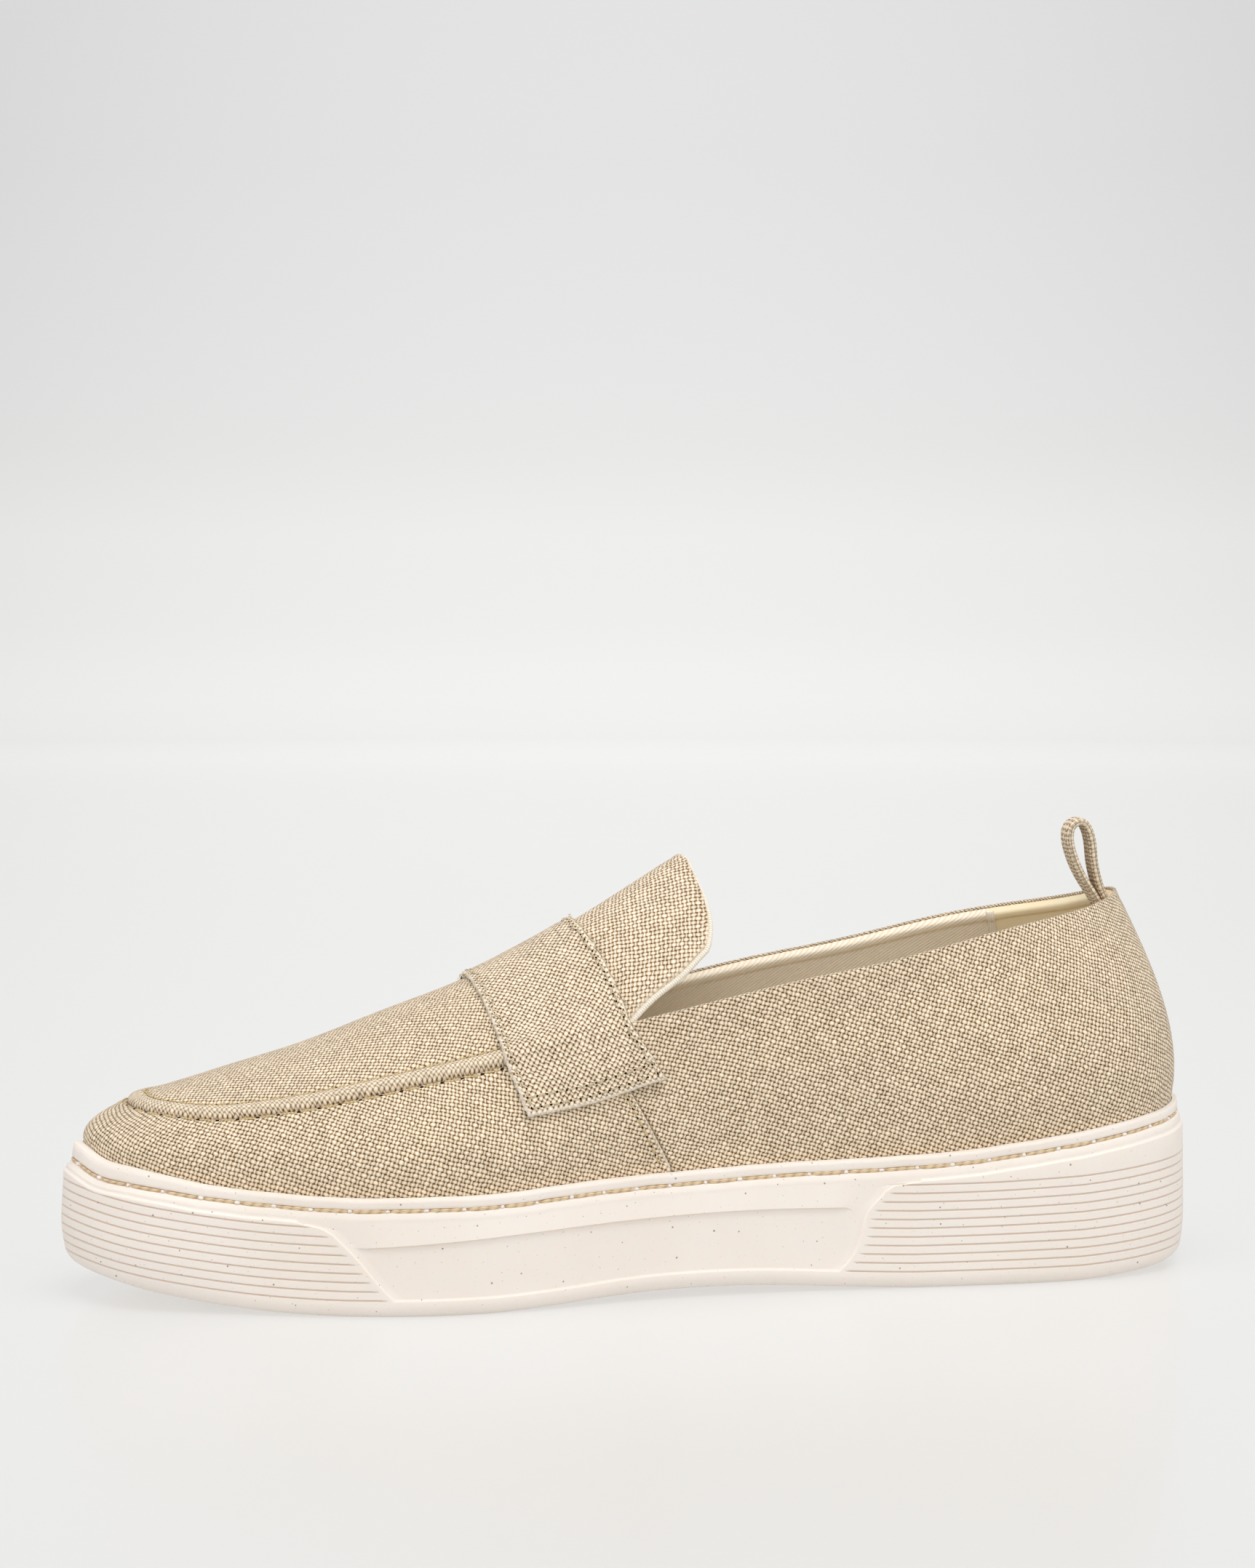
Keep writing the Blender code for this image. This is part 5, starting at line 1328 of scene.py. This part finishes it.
def make_lining():
    """Twill lining of the quarters and vamp, a sueded piece round the heel, and a strip over their join."""
    inner = cut(wall_sheet(even_places(0.0, ROUND - 0.0005, 1.6), tuck=9.0), marks([0.0], 22, ROLL_ROWS), 0)
    station = station_of(inner[..., EXTRA])
    down = from_ends(inner, 0)[1] + ROLL_ROWS[0]
    covered = smooth((APRON_CUT - station) / 0.2)
    inside = blend(0.75, LINING_DEPTH, smooth(down / 1.1) * (1.0 - covered) + covered)
    points = lifted(inner, -inside - padded_roll(down) * (1.0 - covered))
    # The lining ends on the insole
    floor = FLOOR_LINE.at(points[..., 0]) + 3.0
    points[..., 2] = np.maximum(points[..., 2], np.minimum(floor, points[-1:, :, 2]))
    shell = Shell()
    shell.grid(points, inner[..., CLOTH], slot=(station[:-1] > HEEL_JOIN).astype(int), around=True, flip=True)
    apron = cut(apron_sheet(even_places(-APRON_CUT, APRON_CUT, 1.6)), marks([0.0], 22, [0.0]), 0)
    shell.grid(lifted(apron, -LINING_DEPTH), apron[..., CLOTH], flip=True)
    for side in (MEDIAL, LATERAL):
        station = HEEL_JOIN - 0.02 + np.linspace(-0.055, 0.055, 9)
        strip = cut(wall_sheet(station if side == MEDIAL else ROUND - station, tuck=1.0),
                    marks([0.0], 20, ROLL_ROWS), 0)
        bulge = 0.8 * np.sqrt(1.0 - np.linspace(-1, 1, 9) ** 2)
        over = padded_roll(from_ends(strip, 0)[1] + ROLL_ROWS[0])
        shell.grid(lifted(strip, -(WALL + 0.2 + over) - bulge), strip[..., CLOTH], slot=2, flip=side == MEDIAL)
    shell.piece("upper_lining", ["twill", "suede", "tape"], "upper_linen")


# ---------------------------------------------------------------- vamp and quarters

def turned(cloth, degrees):
    """Places on a cloth laid at an angle to its panel."""
    turn = math.radians(degrees)
    u, v = cloth[..., 0], cloth[..., 1]
    return pair(u * math.cos(turn) + v * math.sin(turn), v * math.cos(turn) - u * math.sin(turn))


def creases(wall, down, fade, sizes):
    """Listed creases of a panel of the wall, which die out at its edges."""
    return (fold_lift(wall[..., POINT]) * smooth(down / fade) * smooth(8.0 * wall[..., EXTRA + 1])
            * sizes.crease_depth)


def vamp_stand(station):
    """The vamp stands off the quarter at its seam, and settles back in front of it."""
    return VAMP_STEP * (1.0 - smooth((VAMP_SEAM - station) / 1.2))


def vamp_lift(place, v):
    return vamp_stand(station_of(place)) * smooth(2.5 * v) * smooth(4.0 * (1.0 - v))


def make_vamp(sizes):
    """Front of the upper: the lasted wall, then the apron with the raised ridge of its seam."""
    places = even_places(-VAMP_SEAM, VAMP_SEAM, 0.8, (0.0, 0.12, 0.3, 0.55, 0.9))
    wall = cut(wall_sheet(places), marks(WALL_FOOT, 22, [0.0, 0.3, 0.6, 0.9, 1.3, 1.9, 2.6]), 0)
    place, v = wall[..., EXTRA], wall[..., EXTRA + 1]
    run = signed_length(place)
    ripple = 2 * math.pi * MM / sizes.seam_stitch
    to_seam, down = SEAM_RUN - np.abs(run), from_ends(wall, 0)[1]
    lift = (vamp_lift(place, v) * round_edge(to_seam + 0.01, 0.4) + creases(wall, down, 6.0, sizes)
            + relief(down, VAMP_RELIEF) + 0.05 * np.cos(ripple * run) * groove(down - 1.2, 1.2)
            - 0.22 * groove(to_seam - 2.6, 0.5) * smooth(down / 2.0))
    # Painted highlight along the vamp's folded back edge, and painted shade in the apron seam's groove
    wear_and_painted_light = groove(to_seam - 0.25, 0.5) * smooth(down / 3.0) - 0.25 * groove(down, 0.5)
    shell = Shell()
    shell.grid(lifted(wall, lift), turned(wall[..., CLOTH], VAMP_TURN), wear_and_painted_light=wear_and_painted_light)
    cover = places[np.abs(places) <= APRON_CUT + 1e-6]
    apron = cut(apron_sheet(cover), marks(RIDGE_MARKS, 18, [0.0, 1.2]), 0)
    run, across = signed_length(apron[..., EXTRA]), from_ends(apron, 0)[0]
    arch = np.sin(math.pi * np.clip(across / RIDGE_WIDTH, 0.0, 1.0)) ** 0.75
    high = blend(RIDGE_TOE, RIDGE_BACK, smooth(station_of(apron[..., EXTRA]) / STRAP_FRONT))
    uneven = 1.0 + 0.03 * np.cos(ripple * run) + 0.03 * np.sin(run / 4.3)
    lift = high * arch * uneven + relief(across, RIDGE_RELIEF)
    # The ridge's crest gets a painted highlight, its foot and upper stitch line painted shade
    wear_and_painted_light = 0.42 * arch + relief(across, RIDGE_PAINTED_SHADE)
    points = lifted(apron, lift)
    top = RIDGE_MARKS.index(RIDGE_WIDTH)
    ridge_cloth = turned(pair(run, across), RIDGE_TURN)
    shell.grid(points[:top + 1], ridge_cloth[:top + 1], wear_and_painted_light=wear_and_painted_light[:top + 1])
    shell.grid(points[top:], turned(apron[..., CLOTH], APRON_TURN)[top:], wear_and_painted_light=wear_and_painted_light[top:])
    shell.piece("vamp_linen", ["linen"], "upper_linen", "upper", merge=True)


def make_quarters(sizes):
    """Back of the upper, from under the vamp's edge round the heel, with its top edge rolled over."""
    start = VAMP_SEAM - 0.25
    seam = SEAM_RUN - LAST.length(start)
    fine = [0.0] + [seam + gap for gap in (-1.0, -0.4, -0.1, 0.12, 0.3, 0.5, 0.75, 1.1, 1.6)]
    places = even_places(start, ROUND - start, 0.9, fine)
    wall = cut(wall_sheet(places), marks(WALL_FOOT, 30, [0.0, 0.5, 1.1, 2.0]), 0)
    down = from_ends(wall, 0)[1]
    run = np.abs(signed_length(wall[..., EXTRA]))
    crevice_shade = groove(run - SEAM_RUN - 0.22, 0.32)
    lift = (creases(wall, down, 5.0, sizes) + relief(run - LAST.knots[HEEL], HEEL_SEAM_RELIEF)
            + relief(down, COLLAR_RELIEF) - 0.45 * crevice_shade)
    top, normal, cloth = wall[-1, :, POINT], wall[-1, :, NORMAL], wall[..., CLOTH]
    lead = unit(top - wall[-2, :, POINT])
    roll = [top + lead * (0.45 * math.sin(turn)) - normal * (EDGE_ROLL * (1.0 - math.cos(turn)))
            for turn in np.linspace(0.0, math.pi, 9)[1:]]
    roll += [top - lead * fall - normal * (2 * EDGE_ROLL) for fall in (0.25, 0.6)]
    edge = [cloth[-1] + np.array([0.0, 0.5 * (i + 1)]) for i in range(len(roll))]
    cloth = np.concatenate([cloth, np.array(edge)])
    cloth[..., 0] = np.abs(cloth[..., 0])
    # Painted shade in the crevice beside the vamp's edge
    wear_and_painted_light = np.concatenate([-0.6 * crevice_shade, np.zeros((len(roll), crevice_shade.shape[1]))])
    shell = Shell()
    shell.grid(np.concatenate([lifted(wall, lift), np.array(roll)]), turned(cloth, QUARTER_TURN), wear_and_painted_light=wear_and_painted_light)
    shell.piece("quarter_linen", ["linen"], "upper_linen")


def make_seam_stitches(sizes):
    """Rows of stitches under and over the ridge of the apron seam, and the row ahead of the vamp's back edge."""
    threads, holes = Shell(), Shell()
    stitch = sizes.seam_stitch / MM
    reach = STRAP_FRONT + 0.35
    places = even_places(-reach, reach, 0.6)
    row = line_in(wall_sheet(places), -0.95)
    up = row[:, NORMAL]
    path = row[:, POINT] - up * 0.05
    stitch_run(threads, path, up, stitch, **LOWER_ROW)
    hole_run(holes, path + up * 0.10, up, stitch, 0.40, stretch=1.35)
    row = line_in(apron_sheet(places), RIDGE_WIDTH)
    up = row[:, NORMAL]
    path = row[:, POINT] + up * 0.02
    stitch_run(threads, path, up, **UPPER_ROW)
    hole_run(holes, path + up * 0.04, up, UPPER_ROW["pitch"], 0.22)
    station = np.interp(SEAM_RUN - 2.6, LAST.knots[:HEEL + 1], np.arange(HEEL + 1))
    for place in (station, ROUND - station):
        v = np.linspace(0.02, 0.80, 60)
        where = np.full(v.shape, place)
        spot, up = LAST.wall(where, v), wall_normal(where, v)
        lift = vamp_lift(where, v) - 0.2 + fold_lift(spot) * sizes.crease_depth
        path = spot + up * lift[:, None]
        stitch_run(threads, path, up, **EDGE_ROW)
        hole_run(holes, path + up * 0.10, up, EDGE_ROW["pitch"], 0.27)
    threads.piece("apron_seam_thread", ["thread"], "upper_linen")
    holes.piece("apron_seam_holes", ["hole"], "upper_linen")


# ---------------------------------------------------------------- tongue

def tongue_lines():
    """Dense lines across the tongue from under the strap to the tip, medial edge to lateral edge."""
    lines = []
    for station in np.linspace(APRON_CUT + 0.08, STRAP_BACK, 60)[:-1]:
        w = np.linspace(0.0, 1.0, 100)
        length = run_length(LAST.apron(station, w))
        w = np.linspace(np.interp(TONGUE_SIDE_GAP, length, w), 1.0, 70)
        lines.append(np.concatenate([LAST.apron(station, w), LAST.apron(ROUND - station, w)[-2::-1]]))
    final = len(TONGUE) - 1
    for row in final * np.sin(0.5 * math.pi * np.linspace(0.0, 1.0, 110)):
        crown_x, crown_z, side_x, half, side_z, reach = TONGUE_LINE.at(row)
        near = np.clip(row, 0.1, final - 0.1)
        run, rise = (TONGUE_LINE.at(near + 0.05) - TONGUE_LINE.at(near - 0.05))[:2]
        w = np.linspace(max(1.0 - reach, TONGUE_SIDE_SHARE), 1.0, 70)
        medial = arch_point(np.array([side_x, -half, side_z]), np.array([crown_x, crown_z]), rise / run, w)
        lines.append(np.concatenate([medial, medial[-2::-1] * np.array([1.0, -1.0, 1.0])]))
    return np.array(lines)


def make_tongue():
    """Padded tongue: linen over twill, full in the middle and rounded at its free edges."""
    lines = tongue_lines()
    normals = grid_normals(lines, np.array([-0.3, 0.0, 1.0]))
    across = run_length(lines, axis=1)
    middle = lines.shape[1] // 2
    cloth = pair(run_length(lines)[:, middle:middle + 1], across - across[:, middle:middle + 1])
    sheet = cut(sheet_of(lines, normals, cloth), marks(TONGUE_MARKS, 56, TONGUE_MARKS), 1)
    sheet = cut(sheet, marks([0.0], 50, TONGUE_MARKS), 0)
    near = np.minimum(np.minimum(*from_ends(sheet, 1)), from_ends(sheet, 0)[1])
    half = 0.5 * TONGUE_THICK
    full = half * round_edge(near, 0.9)
    shell = Shell()
    shell.grid(lifted(sheet, full - half + relief(near, TONGUE_RELIEF)), turned(sheet[..., CLOTH], TONGUE_TURN),
               wear_and_painted_light=groove(near, 0.8))
    shell.grid(lifted(sheet, -half - full), sheet[..., CLOTH], slot=1, flip=True)
    shell.piece("tongue_linen", ["tongue", "twill"], "tongue_linen", "tongue", merge=True)
    make_tongue_binding(sheet)


def make_tongue_binding(sheet):
    """Tape rolled round the tongue's free edge, thinner round the tip."""
    outline = np.concatenate([sheet[:, 0], sheet[-1, 1:-1], sheet[::-1, -1]])
    inner = np.concatenate([sheet[:, 4], sheet[-5, 1:-1], sheet[::-1, -5]])
    length = run_length(outline[:, POINT])
    where = np.arange(0.0, length[-1], 0.5)
    line = read_run(outline, length, where)
    up = unit(line[:, NORMAL])
    inward = unit(read_run(unit((inner - outline)[:, POINT]), length, where))
    from_tip = np.abs(where - 0.5 * length[-1])
    thick = BINDING_THIN + BINDING_MORE * smooth((from_tip - BINDING_START) / BINDING_SPAN)
    path = line[:, POINT] - up * (0.6 + 0.5 * thick)[:, None] - inward * (0.15 + 0.55 * thick)[:, None]
    rings = tube_rings(path, up, thick * (1.0 + 0.06 * np.sin(2 * math.pi * where / 1.1)), 10)
    tape = Shell()
    tape.grid(rings, pair(where[:, None], np.arange(10) * 0.5), around=True)
    tape.piece("tongue_binding", ["tape"], "tongue_linen")


# ---------------------------------------------------------------- strap

def strap_lines():
    """Dense lines along the strap, medial end over the crown to lateral end, front edge to back, and normals."""
    lines = []
    for station in np.linspace(STRAP_FRONT, STRAP_BACK, 90):
        level = blend(*STRAP_EDGE, (station - STRAP_FRONT) / (STRAP_BACK - STRAP_FRONT))
        ridge = RIDGE_BACK * (1.0 - smooth((station - STRAP_FRONT) / 2.2))
        halves = []
        for place in (station, ROUND - station):
            v = np.linspace(0.0, 1.0, 80)
            v = np.linspace(np.interp(level, LAST.wall(place, v)[:, 2], v), 1.0, 60)
            up = wall_normal(place, v)
            wall = LAST.wall(place, v) + up * (vamp_stand(station) * smooth(4.0 * (1.0 - v)))[:, None]
            w = np.linspace(0.0, 1.0, 120)
            apron, apron_up = LAST.apron(place, w), apron_normal(place, w)
            over = ridge * np.exp(-((run_length(apron) - 2.6) / 3.6) ** 2)
            halves.append(np.concatenate([np.hstack([wall, up])[:-1],
                                          np.hstack([apron + apron_up * over[:, None], apron_up])]))
        lines.append(np.concatenate([halves[0], halves[1][-2::-1]]))
    lines = np.array(lines)
    return lines[..., POINT], lines[..., NORMAL]


def soften(values, passes):
    """Evens out a grid of vectors along its second axis."""
    for _ in range(passes):
        inner = 0.25 * values[:, :-2] + 0.5 * values[:, 1:-1] + 0.25 * values[:, 2:]
        values = np.concatenate([values[:, :1], inner, values[:, -1:]], axis=1)
    return values


def make_strap():
    """Strap with soft raised edges, a stitch row along each side and two across each end, and frayed edges."""
    lines, normals = strap_lines()
    lines, normals = soften(lines, 12), unit(soften(normals, 60))
    along = run_length(lines, axis=1)
    middle = lines.shape[1] // 2
    cloth = turned(pair(run_length(lines), along - along[:, middle:middle + 1]), STRAP_TURN)
    sheet = cut(sheet_of(lines, normals, cloth), marks(STRAP_END_MARKS, 230, STRAP_END_MARKS), 1)
    sheet = cut(sheet, marks(STRAP_SIDE_MARKS, 30, STRAP_SIDE_MARKS), 0)
    side, end = np.minimum(*from_ends(sheet, 0)), np.minimum(*from_ends(sheet, 1))
    near = np.minimum(side, end)
    run = from_ends(sheet, 1)[0]
    ragged = 0.16 * np.sin(run / 0.83) * np.sin(run / 2.9) + 0.10 * np.sin(run / 0.51)
    edge = round_edge(np.maximum(side + ragged * groove(side - 0.2, 0.6), 0.0), 0.5) * round_edge(end, 0.5)
    pressed = 0.28 * np.maximum(
        0.5 * groove(side - STRAP_ROWS[0], 0.45) * smooth(end - 2.0),
        np.maximum(*(groove(end - row, 0.45) for row in STRAP_ROWS[1:])) * smooth(side - 2.0))
    swell = 0.05 * groove(side - 1.2, 0.8) - 0.06 * smooth((near - 3.0) / 6.0)
    points = lifted(sheet, 0.12 + (STRAP_THICK - 0.1) * edge - pressed + swell * edge)
    shell, threads, holes = Shell(), Shell(), Shell()
    # Pale rim along the cut edges: partly frayed paler threads and partly painted highlight
    shell.grid(points, sheet[..., CLOTH], wear_and_painted_light=smooth((0.7 + 1.5 * ragged - near) / 0.35))
    shell.piece("saddle_strap_linen", ["strap"], "strap_linen", "saddle_strap")
    top = sheet_of(points, sheet[..., NORMAL], sheet[..., CLOTH])
    for number, distance in enumerate(STRAP_ROWS):
        clear = 3.0 if number == 0 else 2.5
        for sign in (1, -1):
            row = line_in(top, sign * distance, min(number, 1))
            length = run_length(row[:, POINT])
            row = row[(length > clear) & (length < length[-1] - clear)]
            up = row[:, NORMAL]
            stitch_run(threads, row[:, POINT], up, **STRAP_ROW)
            radius = 0.20 if (number, sign) == (0, 1) else 0.28
            hole_run(holes, row[:, POINT] + up * 0.09, up, STRAP_ROW["pitch"], radius)
    up = sheet[..., NORMAL]
    for edge, inner, count, seed, reach in STRAP_FRAY:
        frayed_ends(threads, points[edge] + 0.7 * up[edge], points[edge] - points[inner], up[edge], count, seed, reach)
    threads.piece("saddle_strap_thread", ["fine thread"], "strap_linen")
    holes.piece("saddle_strap_holes", ["hole"], "strap_linen")


# ---------------------------------------------------------------- pull loop

def make_pull_loop():
    """A folded strip of the same linen, bent into a loop and tucked behind the collar."""
    path = np.array(LOOP_PATH)
    length = run_length(path)
    where = np.linspace(0.0, length[-1], 150)
    line = Line(length, path).at(where)
    line = np.column_stack([line[:, 0], np.zeros(len(line)), line[:, 1]])
    across = np.array([0.0, 1.0, 0.0])
    over = np.cross(unit(np.gradient(line, axis=0)), across)
    turn = np.linspace(0.0, 2 * math.pi, 40, endpoint=False)
    half = 0.5 * LOOP_WIDTH
    wide = np.sign(np.cos(turn)) * np.abs(np.cos(turn)) ** 0.45 * half
    thick = np.sign(np.sin(turn)) * np.abs(np.sin(turn)) ** 0.8 * (0.5 * LOOP_THICK)
    pinched = thick * (1.0 - 0.10 * groove(wide, 1.2))
    rings = line[:, None] + across * wide[:, None] + over[:, None] * pinched[:, None]
    shell = Shell()
    shell.grid(rings, pair(where[:, None], np.sign(thick) * 20.0 + wide),
               wear_and_painted_light=np.clip((np.abs(wide) / half - 0.8) * 4.0, 0.0, 0.7), around=True)
    shell.piece("heel_pull_loop_linen", ["loop"], "loop_linen", "heel_pull_loop")


# ---------------------------------------------------------------- stage

def make_floor():
    """White acrylic that turns up into walls far behind, with a painted glow that is graded by height and brighter in
    the middle.
    """
    n = Nodes("white acrylic with painted glow")
    where = n.add("NewGeometry", {}, "Position")
    height = n.add("SeparateXYZ", {0: where}, 2)
    glow = n.ramp(height * (1.0 / WALL_TOP), *FLOOR_PAINTED_GLOW)
    beside = n.add("VectorMath", {0: where, 1: BACKDROP_ACROSS}, "Value", operation="DOT_PRODUCT")
    above = height - 0.12
    fall = n.math("MAXIMUM", 1.0 - (beside * beside + above * above) * 0.5, 0.8)
    # Painted light: the floor and walls emit this glow, which also lightens the shade under the shoe
    acrylic = n.finish({"Base Color": linear("#909090"), "Roughness": 0.25, "IOR": 1.45, "Specular IOR Level": 0.25,
                        "Emission Color": glow, "Emission Strength": fall})
    turn = np.linspace(0.0, 2 * math.pi, 97)[:-1]
    profile = [(reach, 0.0) for reach in (0.0005, 0.3, 0.8, 1.3, FLOOR_REACH)]
    profile += [(FLOOR_REACH + COVE_RADIUS * math.sin(a), COVE_RADIUS * (1 - math.cos(a)))
                for a in np.linspace(0.0, 0.5 * math.pi, 17)[1:]]
    profile += [(FLOOR_REACH + COVE_RADIUS, WALL_TOP)]
    reach, rise = np.array(profile).T[..., None]
    points = np.stack([reach * np.cos(turn), reach * np.sin(turn), np.broadcast_to(rise, (len(rise), len(turn)))],
                      axis=-1)
    shell = Shell()
    shell.grid(points / MM + ORIGIN, around=True)
    shell.build("studio_floor", [acrylic])


def on_stage(name, data, place, turn):
    """Puts a light or the camera on the stage."""
    item = bpy.data.objects.new(name, data)
    item.location = place
    item.rotation_euler = turn
    bpy.context.scene.collection.objects.link(item)
    return item


def make_stage():
    """Pale floor, soft lights, an even room and the camera."""
    make_floor()
    scene = bpy.context.scene
    for name, place, size, power, colour in SOFTBOXES:
        light = bpy.data.lights.new(name, "AREA")
        light.size = size
        light.energy = power
        light.color = linear(colour)[:3]
        aim = np.array(LIGHT_AIM) - np.array(place)
        tilt, heading = math.acos(-aim[2] / np.linalg.norm(aim)), math.atan2(aim[1], aim[0])
        lamp = on_stage(name, light, place, (tilt, 0.0, heading - 0.5 * math.pi))
        lamp.visible_camera = False
        lamp.visible_glossy = False
    world = bpy.data.worlds.new("even studio")
    world.use_nodes = True
    background = world.node_tree.nodes["Background"]
    background.inputs[0].default_value = linear("#FCFDFF")
    background.inputs[1].default_value = ROOM_LIGHT
    scene.world = world
    scene.view_settings.view_transform = "Standard"
    lens = bpy.data.cameras.new("camera")
    lens.lens = CAMERA_LENS
    lens.clip_start = 0.05
    lens.clip_end = 20.0
    scene.camera = on_stage("camera", lens, CAMERA_PLACE,
                            (math.radians(90.0 + CAMERA_PITCH), 0.0, math.radians(CAMERA_YAW - 90.0)))


# ---------------------------------------------------------------- add-on

class LoaferSizes(bpy.types.PropertyGroup):
    """Sizes that a maker would change from one last or cloth to another."""
    seam_stitch: bpy.props.FloatProperty(
        name="Apron seam stitch", description="Length of a stitch of the lower row of the apron seam",
        default=5.3 * MM, unit="LENGTH")
    welt_stitch: bpy.props.FloatProperty(
        name="Welt stitch", description="Length of a stitch in the groove under the lip",
        default=9.5 * MM, unit="LENGTH")
    crease_depth: bpy.props.FloatProperty(
        name="Crease depth", description="Share of full depth of the hand-placed creases",
        default=1.0, subtype="FACTOR", min=0.0, max=2.0)


class LOAFER_OT_cupsole(bpy.types.Operator):
    """Moulded cupsole with its lip, ribbed panels and tread, and the thread round its rim"""
    bl_idname = "loafer.cupsole"
    bl_label = "Cupsole"

    def execute(self, context):
        make_cupsole(context.scene.loafer)
        make_welt_thread(context.scene.loafer)
        return {"FINISHED"}


class LOAFER_OT_footbed(bpy.types.Operator):
    """Cover of the insole"""
    bl_idname = "loafer.footbed"
    bl_label = "Footbed"

    def execute(self, context):
        make_footbed()
        return {"FINISHED"}


class LOAFER_OT_lining(bpy.types.Operator):
    """Twill and sueded linings"""
    bl_idname = "loafer.lining"
    bl_label = "Linings"

    def execute(self, context):
        make_lining()
        return {"FINISHED"}


class LOAFER_OT_vamp(bpy.types.Operator):
    """Vamp and raised apron"""
    bl_idname = "loafer.vamp"
    bl_label = "Vamp"

    def execute(self, context):
        make_vamp(context.scene.loafer)
        return {"FINISHED"}


class LOAFER_OT_quarters(bpy.types.Operator):
    """Quarters with the rolled collar"""
    bl_idname = "loafer.quarters"
    bl_label = "Quarters"

    def execute(self, context):
        make_quarters(context.scene.loafer)
        return {"FINISHED"}


class LOAFER_OT_seams(bpy.types.Operator):
    """Stitch rows of the apron seam and the vamp edge"""
    bl_idname = "loafer.seams"
    bl_label = "Seam stitches"

    def execute(self, context):
        make_seam_stitches(context.scene.loafer)
        return {"FINISHED"}


class LOAFER_OT_tongue(bpy.types.Operator):
    """Padded tongue and its binding"""
    bl_idname = "loafer.tongue"
    bl_label = "Tongue"

    def execute(self, context):
        make_tongue()
        return {"FINISHED"}


class LOAFER_OT_strap(bpy.types.Operator):
    """Strap over the vamp with its stitch rows"""
    bl_idname = "loafer.strap"
    bl_label = "Saddle strap"

    def execute(self, context):
        make_strap()
        return {"FINISHED"}


class LOAFER_OT_pull_loop(bpy.types.Operator):
    """Loop behind the collar"""
    bl_idname = "loafer.pull_loop"
    bl_label = "Pull loop"

    def execute(self, context):
        make_pull_loop()
        return {"FINISHED"}


class LOAFER_OT_stage(bpy.types.Operator):
    """Floor, lights and camera"""
    bl_idname = "loafer.stage"
    bl_label = "Stage"

    def execute(self, context):
        make_stage()
        return {"FINISHED"}


OPERATORS = (LOAFER_OT_cupsole, LOAFER_OT_footbed, LOAFER_OT_lining, LOAFER_OT_vamp, LOAFER_OT_quarters,
             LOAFER_OT_seams, LOAFER_OT_tongue, LOAFER_OT_strap, LOAFER_OT_pull_loop, LOAFER_OT_stage)


class LOAFER_PT_panel(bpy.types.Panel):
    """Buttons for the pieces and the stage"""
    bl_label = "Linen loafer"
    bl_space_type = "VIEW_3D"
    bl_region_type = "UI"
    bl_category = "Loafer"

    def draw(self, context):
        for name in ("seam_stitch", "welt_stitch", "crease_depth"):
            self.layout.prop(context.scene.loafer, name)
        for operator in OPERATORS:
            self.layout.operator(operator.bl_idname)


CLASSES = (LoaferSizes, *OPERATORS, LOAFER_PT_panel)


def register():
    for item in CLASSES:
        bpy.utils.register_class(item)
    bpy.types.Scene.loafer = bpy.props.PointerProperty(type=LoaferSizes)


def unregister():
    del bpy.types.Scene.loafer
    for item in reversed(CLASSES):
        bpy.utils.unregister_class(item)


def main():
    register()
    bpy.ops.loafer.cupsole()
    bpy.ops.loafer.footbed()
    bpy.ops.loafer.lining()
    bpy.ops.loafer.vamp()
    bpy.ops.loafer.quarters()
    bpy.ops.loafer.seams()
    bpy.ops.loafer.tongue()
    bpy.ops.loafer.strap()
    bpy.ops.loafer.pull_loop()
    bpy.ops.loafer.stage()


if __name__ == "__main__":
    main()
